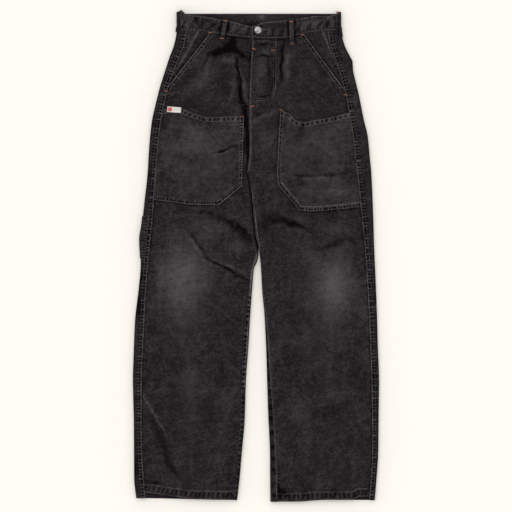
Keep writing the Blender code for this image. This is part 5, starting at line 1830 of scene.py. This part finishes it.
@dataclass
class ToolPocketEdge(ClothPiece):
    """The edge of the narrow pocket on the back of the right leg, where it shows at the side."""

    top: float = 92.0
    bottom: float = -6.0
    row_count: int = 64
    columns: int = 22

    def details(self) -> Sequence[Detail]:
        """Returns the pocket's double-stitched top hem, and its inner edge, pale with wear and painted
        highlight, with a row of dents in painted shade.
        """
        top = Route(((-262.0, self.top), (-236.0, self.top)))
        side = Route(((-247.0, self.top), (-250.0, 40.0), (-254.0, self.bottom)))
        return (
            SewnBand(top, -1.0, 9.0, 171, 5.6, edge=1.0, dents=0.6, rungs=0.6, far=0.9),
            PaleOrDarkLine(side, 0.8, 0.9, wear_and_highlight=0.55, even=0.4, seed=174),
            Puckers(side, -1.0, -11.0, 6.2, 1.3, 0.5, 0.4, seed=175, length=1.3),
        )

    def wall(self) -> ClothWall:
        """Returns the edge's wall."""
        leg = Leg.RIGHT
        y = np.linspace(self.top, self.bottom, self.row_count)[:, None]
        centre = FORM.outer_fold[leg](y) - leg.outward * FOLD_REACH
        start = mix(FORM.outseam[leg](y), centre, 0.1)
        full = FORM.layer_height(leg, centre, y)
        stand = LIE_GAP + CLOTH
        share = np.linspace(0.0, 1.0, self.columns // 2)[None, :]
        flat_x = mix(start, centre, share)
        flat_z = FORM.upper_face(leg, flat_x, y + flat_x * 0.0) + FELL_RISE * (1.0 - share * 0.4) + stand
        angle = np.radians(np.linspace(80.0, -18.0, self.columns - self.columns // 2))[None, :]
        turn_x = centre + leg.outward * (FOLD_REACH + stand) * np.cos(angle)
        turn_z = full / 2 + (full / 2 + stand) * np.sin(angle)
        x = np.concatenate([flat_x, turn_x], axis=1)
        z = np.concatenate([flat_z, turn_z], axis=1)
        y = np.broadcast_to(y, x.shape)
        marks = self.marks(x, y)
        outer = np.stack([x, y, z + marks.lift], axis=2)
        return ClothWall(self.name, outer, CLOTH, marks)


@dataclass
class FrontLoop(ClothPiece):
    """A belt loop across the front of the band, from its top edge to just below its seam."""

    top: Place = Place(0.0, 0.0)
    low: Place = Place(0.0, 0.0)
    width: float = 12.7
    slack: float = 1.2
    row_count: int = 60
    columns: int = 19

    @staticmethod
    def cover(x: Array, y: Array) -> Array:
        """Returns the height of the face under the loop: the band's, and the panel's below it."""
        low = np.minimum(y, FORM.waist_seam(x) - SEAM_GAP)
        left, right = FORM.upper_face(Leg.LEFT, x, low), FORM.upper_face(Leg.RIGHT, x, low)
        share = smooth_step(FORM.waist_seam(x) - 8.0, FORM.waist_seam(x) - 2.0, y)
        return mix(np.where(x > FLY_EDGE, left, right), FORM.band_face(x), share)

    def details(self) -> Sequence[Detail]:
        """Returns the loop's middle, pale with wear and painted highlight, and painted shade along its edges
        and at its ends.
        """
        middle = Route((self.top, self.low))
        return (
            PaleOrDarkLine(middle, 6.1, 1.2, painted_shade=1.8, even=0.9, seed=181),
            PaleOrDarkLine(middle, -6.1, 1.2, painted_shade=1.8, even=0.9, seed=182),
            PaleOrDarkLine(middle, 0.0, 3.6, wear_and_highlight=0.16, even=0.8, seed=184),
            *(
                Fade(mix(self.top.x, self.low.x, share), mix(self.top.y, self.low.y, share), 6.0, 1.6, -1.1)
                for share in (0.1, 0.88)
            ),
        )

    def wall(self) -> ClothWall:
        """Returns the loop's wall."""
        share = np.linspace(0.0, 1.0, self.row_count)[:, None]
        across = np.linspace(-0.5, 0.5, self.columns)[None, :]
        middle, y = mix(self.top.x, self.low.x, share), mix(self.top.y, self.low.y, share) + across * 0.0
        x = middle + across * self.width
        rise = LIE_GAP + LOOP_CLOTH + self.slack * np.sin(math.pi * share)
        z = self.cover(middle, mix(self.top.y, self.low.y, share)) + rise
        round_off = 0.5 * smooth_step(0.36, 0.5, abs(across))
        marks = self.marks(x, y)
        outer = np.stack([x, y, z - round_off + marks.lift], axis=2)
        return ClothWall(self.name, outer, LOOP_CLOTH, marks)


@dataclass
class SideLoop(ClothPiece):
    """A belt loop across the band on the side fold, bent round it."""

    leg: Leg = Leg.RIGHT
    high: float = 561.0
    low: float = 515.0
    top_run: float = 5.0
    row_count: int = 50

    def details(self) -> Sequence[Detail]:
        """Returns the loop's rubbed edge and the shadow beside it."""
        edge = BAND_SIDE_LEFT if self.leg is Leg.LEFT else BAND_SIDE_RIGHT
        inner = edge - self.leg.outward * (FOLD_REACH + self.top_run)
        line = Route(((inner, self.high), (inner, self.low)))
        return (
            PaleOrDarkLine(line, self.leg.inward(-1.4), 0.9, wear_and_highlight=0.35, even=0.4, seed=191),
            PaleOrDarkLine(line, self.leg.inward(-4.8), 1.8, painted_shade=0.8, even=0.6, seed=192),
        )

    def wall(self) -> ClothWall:
        """Returns the loop's wall."""
        out = self.leg.outward
        edge = BAND_SIDE_LEFT if self.leg is Leg.LEFT else BAND_SIDE_RIGHT
        y = np.linspace(self.high, self.low, self.row_count)[:, None]
        stand = LIE_GAP + LOOP_CLOTH
        below = smooth_step(WAIST_SEAM_BACK + 6.0, WAIST_SEAM_BACK + 2.0, y)
        fold = mix(edge, FORM.outer_fold[self.leg](y) + out * LIE_GAP, below)
        middle = edge - out * FOLD_REACH + np.maximum(0.0, abs(fold) - abs(edge)) * out
        top = float(FORM.band_face(edge - out * FOLD_REACH))
        flat_x = middle - out * np.linspace(self.top_run, 0.4, 6)[None, :]
        angle = np.radians(np.linspace(90.0, -20.0, 14))[None, :]
        turn_x = middle + out * (FOLD_REACH + stand) * np.cos(angle)
        turn_z = top / 2 + (top / 2 + stand) * np.sin(angle) + y * 0.0
        x = np.concatenate([flat_x, turn_x], axis=1)
        z = np.concatenate([flat_x * 0.0 + top + stand, turn_z], axis=1)
        y = np.broadcast_to(y, x.shape)
        marks = self.marks(x, y)
        outer = np.stack([x, y, z + marks.lift], axis=2)
        return ClothWall(self.name, outer, LOOP_CLOTH, marks)


@dataclass(frozen=True)
class SideTab:
    """The small woven tab on the hem of the right patch pocket."""

    name: str = "side_tab"
    centre: Place = Place(-188.0, 336.0)
    width: float = 32.0
    height: float = 13.0
    tilt: float = -5.0
    puff: float = 0.8

    def build(self, finish: TabFinish, sewing: "Needlework") -> bpy.types.Object:
        """Args:
            finish: Its cloth.
            sewing: The needlework, which takes its face.

        Returns:
            The object.
        """
        across, up = np.meshgrid(np.linspace(-0.5, 0.5, 49), np.linspace(0.5, -0.5, 22))
        dx, dy, turn = across * self.width, up * self.height, math.radians(self.tilt)
        x = self.centre.x + dx * math.cos(turn) - dy * math.sin(turn)
        y = self.centre.y + dx * math.sin(turn) + dy * math.cos(turn)
        stand = LIE_GAP + CLOTH + HEM_RISE + self.puff * 0.5 + SEAM_GAP + TAB_CLOTH
        edge = np.minimum((0.5 - abs(across)) * self.width, (0.5 - abs(up)) * self.height)
        soft = 0.3 * np.sin(across * 9.0 + 0.6) * np.cos(up * 2.0)
        z = FORM.upper_face(Leg.RIGHT, x, y) + stand + soft - 0.35 * (1.0 - smooth_step(0.0, 1.2, edge))
        marks = Marks.blank(x.shape)
        # Painted shade along the tab's edge
        marks.painted_shade += 0.55 * (1.0 - smooth_step(0.0, 0.9, edge))
        block = {"block": np.where((across < -0.16) & (edge > 1.4), 1.0, 0.0)}
        wall = ClothWall(self.name, np.stack([x, y, z], axis=2), TAB_CLOTH, marks, extra=block)
        thing = wall.build(finish.material)
        declare(thing, self.name)
        sewing.cover(wall)
        return thing


@dataclass(frozen=True)
class WaistButton:
    """A turned metal button with a rolled rim, a sunk ring and a low dome with a pit."""

    name: str = "waist_button"
    centre: Place = Place(4.4, 519.0)
    sides: int = 72
    sunk_ring: float = 5.0
    pit: float = 1.4
    # Radius and height of each ring, from the middle of the back to the middle of the face
    profile: Table = (
        (0.0, 0.0), (6.4, 0.0), (7.2, 0.35), (7.6, 0.95), (7.7, 1.5), (7.55, 2.0), (7.2, 2.4), (6.7, 2.68),
        (6.2, 2.74), (5.7, 2.62), (5.3, 2.38), (4.9, 2.2), (4.5, 2.24), (4.0, 2.5), (3.3, 2.84), (2.5, 3.08),
        (1.9, 3.16), (1.5, 3.1), (1.2, 2.86), (0.9, 2.6), (0.45, 2.5), (0.0, 2.48),
    )

    def build(self, finish: MetalFinish) -> bpy.types.Object:
        (x, y), n = self.centre, self.sides
        base = float(FORM.band_face(x) + FORM.fly_lift(x, WAIST_LEVEL, BAND_LAP_LIFT)) + SEAM_GAP
        angle = math.tau * np.arange(n) / n
        points = [np.array([[x, y, base + self.profile[k][1]] for k in (0, -1)])]
        # Painted shade at the middle of the face, in the sunk ring and in the pit
        painted_shade = [np.array([0.0, 0.9])]
        for radius, height in self.profile[1:-1]:
            circle = [x + radius * np.cos(angle), y + radius * np.sin(angle), angle * 0 + base + height]
            points.append(np.stack(circle, axis=1))
            painted_shade.append(angle * 0 + 0.8 * max(bell(radius - self.sunk_ring, 0.45), float(radius < self.pit)))
        faces, last = [], 2 + (len(self.profile) - 3) * n
        for side in range(n):
            after = (side + 1) % n
            faces.append([0, 2 + after, 2 + side])
            for low in range(2, last, n):
                faces.append([low + side, low + after, low + n + after, low + n + side])
            faces.append([1, last + side, last + after])
        thing = make_mesh(
            self.name, np.concatenate(points), faces, finish.material, {"painted_shade": np.concatenate(painted_shade)}
        )
        declare(thing, self.name)
        return thing


@dataclass(frozen=True)
class StitchRow:
    """A row of stitches beside a route."""

    route: Route
    offset: float = 0.0
    pitch: float = 4.1
    start: float = 1.0
    end: float = 1.0


@dataclass(frozen=True)
class Bartack:
    """A dense bar of zigzag thread that holds a corner."""

    x: float
    y: float
    turn: float
    length: float = 7.8
    width: float = 1.8
    THREADS = 15


@dataclass(frozen=True)
class Buttonhole:
    """A worked hole: a slit in shadow between two rims of thread."""

    start: Place = Place(13.8, 520.2)
    end: Place = Place(31.5, 519.6)
    reach: float = 1.7
    THREADS = 24


@dataclass
class Needlework:
    """Lays stitches and bartacks as threads on the faces of the cloth."""

    length: float = 3.1
    radius: float = 0.33
    sides: int = 4
    sink: float = 0.08
    bow: float = 0.7
    seed: int = 11
    points: list[Array] = field(default_factory=list)
    faces: list[list[int]] = field(default_factory=list)
    count: int = 0
    # Place along a stitch, thickness and height of each ring of its thread
    RINGS = (
        (-0.5, 0.35, -0.9), (-0.42, 0.8, -0.3), (-0.2, 1.0, 0.75), (0.2, 1.0, 0.75), (0.42, 0.8, -0.3),
        (0.5, 0.35, -0.9),
    )

    def cover(self, wall: ClothWall) -> None:
        """Takes a wall's outer face as ground for the sewing."""
        number = self.count + np.arange(wall.outer[..., 0].size).reshape(wall.outer.shape[:2])
        self.points.append(wall.outer.reshape(-1, 3))
        self.faces += quads(number, wall.present)
        self.count += number.size

    @cached_property
    def ground(self) -> BVHTree:
        """All the cloth, which is complete when the first thread is laid."""
        return BVHTree.FromPolygons(np.concatenate(self.points).tolist(), self.faces)

    @cached_property
    def template(self) -> tuple[Array, list[list[int]]]:
        """One stitch along X, a thread that rises from the cloth and dips back: points and faces."""
        n, last = self.sides, (len(self.RINGS) - 1) * self.sides
        angle = math.tau * np.arange(n) / n
        rings = [
            np.stack(
                [angle * 0 + along, wide * np.cos(angle), wide * np.sin(angle) + high * self.bow], axis=1
            )
            for along, wide, high in self.RINGS
        ]
        faces = [
            [k + i, k + (i + 1) % n, k + n + (i + 1) % n, k + n + i]
            for k in range(0, last, n)
            for i in range(n)
        ]
        return np.concatenate(rings), [*faces, list(range(n))[::-1], list(range(last, last + n))]

    def threads(self, name: str, placed: Table, finish: ThreadFinish, radius: float) -> bpy.types.Object:
        """Lays threads as one piece, where there is cloth under them.

        Args:
            name: The piece's name.
            placed: x, y, heading in radians and length of each thread.
            finish: The thread.
            radius: Its radius.

        Returns:
            The object.
        """
        points, faces = self.template
        made, polygons = [], []
        for x, y, heading, length in placed:
            ground, normal, _, _ = self.ground.ray_cast(Vector((x, y, 60.0)), Vector((0.0, 0.0, -1.0)))
            if ground is None:
                continue
            normal = normal if normal.z > 0.0 else -normal
            along = Vector((math.cos(heading), math.sin(heading), 0.0))
            along = (along - normal * along.dot(normal)).normalized()
            axes = np.array([along * length, normal.cross(along) * radius, normal * radius])
            polygons += [[len(made) * len(points) + k for k in face] for face in faces]
            made.append(points @ axes + np.array(ground + normal * (radius * 0.15 - self.sink)))
        thing = make_mesh(name, np.concatenate(made), polygons, finish.material)
        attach(thing, "root")
        return thing

    def row_places(self, row: StitchRow, seed: int) -> Table:
        """Returns the places of a row's stitches, a little uneven by the seed."""
        draw = np.random.default_rng(seed)
        route = row.route.beside(row.offset) if row.offset else row.route
        along = np.arange(row.start, route.length - row.end, row.pitch)
        points, heading = route.at(along + draw.uniform(-0.12, 0.12, along.shape))
        lean = draw.uniform(-0.05, 0.05, along.shape)
        length = self.length * draw.uniform(0.9, 1.08, along.shape)
        turn = np.arctan2(heading[:, 1], heading[:, 0]) + lean
        return list(zip(points[:, 0], points[:, 1], turn, length))

    def sew(self, name: str, rows: Sequence[StitchRow], finish: ThreadFinish) -> bpy.types.Object:
        """Sews rows of stitches as one piece."""
        placed = [place for k, row in enumerate(rows) for place in self.row_places(row, self.seed + k)]
        return self.threads(name, placed, finish, self.radius)

    def tack(self, name: str, tacks: Sequence[Bartack], finish: ThreadFinish) -> bpy.types.Object:
        """Sews the bartacks as one piece: short threads side by side across each bar."""
        draw, placed = np.random.default_rng(self.seed), []
        for bar in tacks:
            turn = math.radians(bar.turn)
            for share in np.linspace(-0.5, 0.5, bar.THREADS):
                x = bar.x + math.cos(turn) * (share * bar.length) + draw.uniform(-0.1, 0.1)
                y = bar.y + math.sin(turn) * (share * bar.length) + draw.uniform(-0.1, 0.1)
                lean = math.pi / 2 + 0.22 * (-1) ** int(round(share * (bar.THREADS - 1)))
                placed.append((x, y, turn + lean, bar.width * draw.uniform(0.9, 1.15)))
        return self.threads(name, placed, finish, 0.36)

    def buttonhole(self, name: str, hole: Buttonhole, finish: ThreadFinish) -> bpy.types.Object:
        """Sews the buttonhole as one piece: threads side by side along both lips of its slit."""
        first, last = np.array(hole.start), np.array(hole.end)
        heading = (last - first) / np.linalg.norm(last - first)
        left, placed = np.array((-heading[1], heading[0])), []
        for side in (-1.0, 1.0):
            for share in np.linspace(0.0, 1.0, hole.THREADS):
                x, y = mix(first, last, share) + left * side * hole.reach * 0.55
                placed.append((x, y, math.atan2(left[1], left[0]), hole.reach))
        return self.threads(name, placed, finish, 0.34)


@dataclass(frozen=True)
class Studio:
    """A pale floor, soft daylight from the upper left and the camera straight above."""

    distance: float = 6.5422
    lens: float = 200.0
    sensor: float = 36.0
    floor_level: float = -0.0004
    floor_size: float = 12.0

    def build(self) -> None:
        """Builds the floor, the lights and the camera."""
        self.floor()
        self.world(0.19, 0.412)
        self.light("key", (-0.62, 0.66, 0.80), 40.0, 0.46)
        self.camera()
        bpy.context.scene.view_settings.view_transform = "Standard"

    def floor(self) -> None:
        """Lays the floor."""
        half = self.floor_size / 2
        mesh = bpy.data.meshes.new("floor")
        corners = [(-half, -half, 0), (half, -half, 0), (half, half, 0), (-half, half, 0)]
        mesh.from_pydata([(x, y, self.floor_level) for x, y, _ in corners], [], [(0, 1, 2, 3)])
        mesh.materials.append(FloorFinish("pale_floor").material)
        floor = bpy.data.objects.new("floor", mesh)
        bpy.context.scene.collection.objects.link(floor)

    @staticmethod
    def world(above: float, around: float) -> None:
        """Sets a plain pale sky.

        Args:
            above: Strength everywhere.
            around: Strength added straight above, which grows towards the horizon.
        """
        world = bpy.data.worlds.new("sky")
        world.use_nodes = True
        tree = world.node_tree
        background = tree.nodes["Background"]
        background.inputs["Color"].default_value = (1.0, 0.985, 0.985, 1.0)
        place = tree.nodes.new("ShaderNodeTexCoord")
        split = tree.nodes.new("ShaderNodeSeparateXYZ")
        tree.links.new(place.outputs["Generated"], split.inputs[0])
        level = split.outputs["Z"]
        for operation, value, first in (
            ("MAXIMUM", 0.12, False), ("DIVIDE", around, True), ("ADD", above, False)
        ):
            node = tree.nodes.new("ShaderNodeMath")
            node.operation = operation
            node.inputs[0 if first else 1].default_value = value
            tree.links.new(level, node.inputs[1 if first else 0])
            level = node.outputs[0]
        tree.links.new(level, background.inputs["Strength"])
        bpy.context.scene.world = world

    @staticmethod
    def light(name: str, place: tuple[float, float, float], spread: float, power: float) -> None:
        """Adds a wide, soft daylight that comes evenly from one side.

        Args:
            name: The light's name.
            place: The direction it comes from.
            spread: How wide it looks from the garment, in degrees.
            power: Its strength.
        """
        light = bpy.data.lights.new(name, "SUN")
        light.angle = math.radians(spread)
        light.energy = power
        thing = bpy.data.objects.new(name, light)
        thing.location = place
        thing.rotation_euler = (-Vector(place)).to_track_quat("-Z", "Y").to_euler()
        bpy.context.scene.collection.objects.link(thing)

    def camera(self) -> None:
        """Places the camera straight above, with the waist at the top of the picture."""
        camera = bpy.data.cameras.new("camera")
        camera.lens = self.lens
        camera.sensor_width = self.sensor
        camera.dof.use_dof = False
        camera.clip_end = 50.0
        thing = bpy.data.objects.new("camera", camera)
        thing.location = (0.0, 0.0, self.distance)
        bpy.context.scene.collection.objects.link(thing)
        bpy.context.scene.camera = thing


def front_loops() -> tuple[FrontLoop, FrontLoop]:
    """The two belt loops on the front of the band."""
    return (
        FrontLoop("belt_loop_front_right", ("waistband",), top=Place(-70, 542), low=Place(-78, 499)),
        FrontLoop("belt_loop_front_left", ("waistband",), top=Place(81, 544), low=Place(82, 488)),
    )


def loop_shadows(painted_shade: float) -> tuple[Detail, ...]:
    """Shadows of a strength on the cloth to both sides of the front loops."""
    return tuple(
        PaleOrDarkLine(Route((loop.top, loop.low)), gap, 2.0, painted_shade=painted_shade, even=0.7, seed=186)
        for loop in front_loops()
        for gap in (-8.4, 8.4)
    )


def stitch_rows(leg: Leg) -> tuple[list[StitchRow], list[StitchRow]]:
    """Returns the rows of stitches above the pockets' bottoms of one half, and those down its leg."""
    out, outseam = leg.outward, outseam_route(leg)
    cut = int(len(outseam.points) * 0.42)
    top, inner, bottom = ThighPocket("", leg=leg).border()
    inseam = y_route(FORM.inseam[leg], 0.0, HEM_LEVEL[leg] + 3.0)
    above = [StitchRow(Route(outseam.points[: cut + 1]), leg.inward(gap)) for gap in (5.4, -1.2)]
    above += [StitchRow(mouth_route(leg), -out * gap) for gap in (1.9, 8.4)]
    above += [StitchRow(top, out * gap) for gap in (2.0, 10.4)]
    above += [StitchRow(line, out * gap) for line in (inner, bottom) for gap in (1.8, 7.4)]
    below = [StitchRow(Route(outseam.points[cut:]), leg.inward(gap)) for gap in (5.4, -1.2)]
    return above, below + [StitchRow(hem_route(leg), -1.2), StitchRow(inseam, -out * 2.0)]


TACKS = (
    Bartack(-105.8, 512.9, -6), Bartack(-207.0, 379.5, -18), Bartack(-69.0, 540.5, 2),
    Bartack(-78.2, 500.3, -6),
    Bartack(80.5, 538.2, 0), Bartack(82.8, 487.6, 0), Bartack(186.3, 557.8, 0, 6.6),
    Bartack(107.0, 508.3, 4, 6.6),
    Bartack(205.9, 371.0, 20, 6.0), Bartack(-4.6, 476.1, -28), Bartack(39.1, 472.7, 4),
    Bartack(-9.2, 343.9, 5),
    Bartack(-31.1, 320.9, 6, 6.8), Bartack(58.7, 334.7, -24),
)


def sew_garment(sewing: Needlework) -> list[bpy.types.Object]:
    """Sews the rows of stitches, the fly, the band, the bartacks and the buttonhole, and returns them."""
    dark = ThreadFinish("dark_thread", (0.020, 0.018, 0.019, 1.0), (0.060, 0.055, 0.055, 1.0))
    orange = ThreadFinish("orange_thread", (0.31, 0.066, 0.026, 1.0), (0.54, 0.165, 0.075, 1.0))
    sewn = []
    for leg in Leg:
        for part, rows in zip(("upper", "lower"), stitch_rows(leg)):
            sewn.append(sewing.sew(f"stitching_{leg.value}_{part}", rows, dark))
    low, high = (Waistband("waistband").edge(-174.0, 186.0, top) for top in (False, True))
    fly = fly_route()
    rows = [StitchRow(low, 2.2), StitchRow(high, -2.4), StitchRow(fly), StitchRow(fly, -4.8)]
    rows += [StitchRow(centre_route(498.0, 350.0), 2.6), StitchRow(centre_route(340.0, 200.0), 3.0)]
    rows += [StitchRow(Route((loop.top, loop.low)), gap) for loop in front_loops() for gap in (-3.9, 3.9)]
    sewn.append(sewing.sew("stitching_waist", rows, dark))
    sewn.append(sewing.tack("bartacks", TACKS, orange))
    return sewn + [sewing.buttonhole("buttonhole", Buttonhole(), dark)]


def build_cloth(canvas: CanvasFinish, sewing: Needlework) -> list[bpy.types.Object]:
    """Builds the garment's cloth pieces and returns them in the order in which they are sewn."""
    pieces: list[ClothPiece] = []
    for leg in Leg:
        front, back = f"front_{leg.value}", f"back_{leg.value}"
        pieces += [
            FrontPanel(front, (back,), leg=leg),
            BackPanel(back, leg=leg),
            PocketFacing(f"pocket_facing_{leg.value}", (back,), leg=leg),
            ThighPocket(f"thigh_pocket_{leg.value}", (front,), leg=leg),
        ]
    pieces += [
        ToolPocketEdge("leg_tool_pocket_right", ("back_right",)),
        Waistband("waistband"),
        *front_loops(),
        SideLoop("belt_loop_side_right", ("waistband",), leg=Leg.RIGHT, low=515.0),
        SideLoop("belt_loop_side_left", ("waistband",), leg=Leg.LEFT, low=504.0),
    ]
    return [piece.build(canvas, sewing) for piece in pieces]


def main() -> None:
    """Builds the trousers, their sewing and the studio, and reports each piece."""
    logging.basicConfig(level=logging.INFO, format="%(name)s: %(message)s")
    sewing = Needlework()
    built = build_cloth(CanvasFinish("black_canvas"), sewing)
    built.append(SideTab().build(TabFinish("woven_tab"), sewing))
    built += sew_garment(sewing)
    built.append(WaistButton().build(MetalFinish("dull_metal")))
    for thing in built:
        log.info("%s: %d faces", thing.name, len(thing.data.polygons))
    Studio().build()


if __name__ == "__main__":
    main()
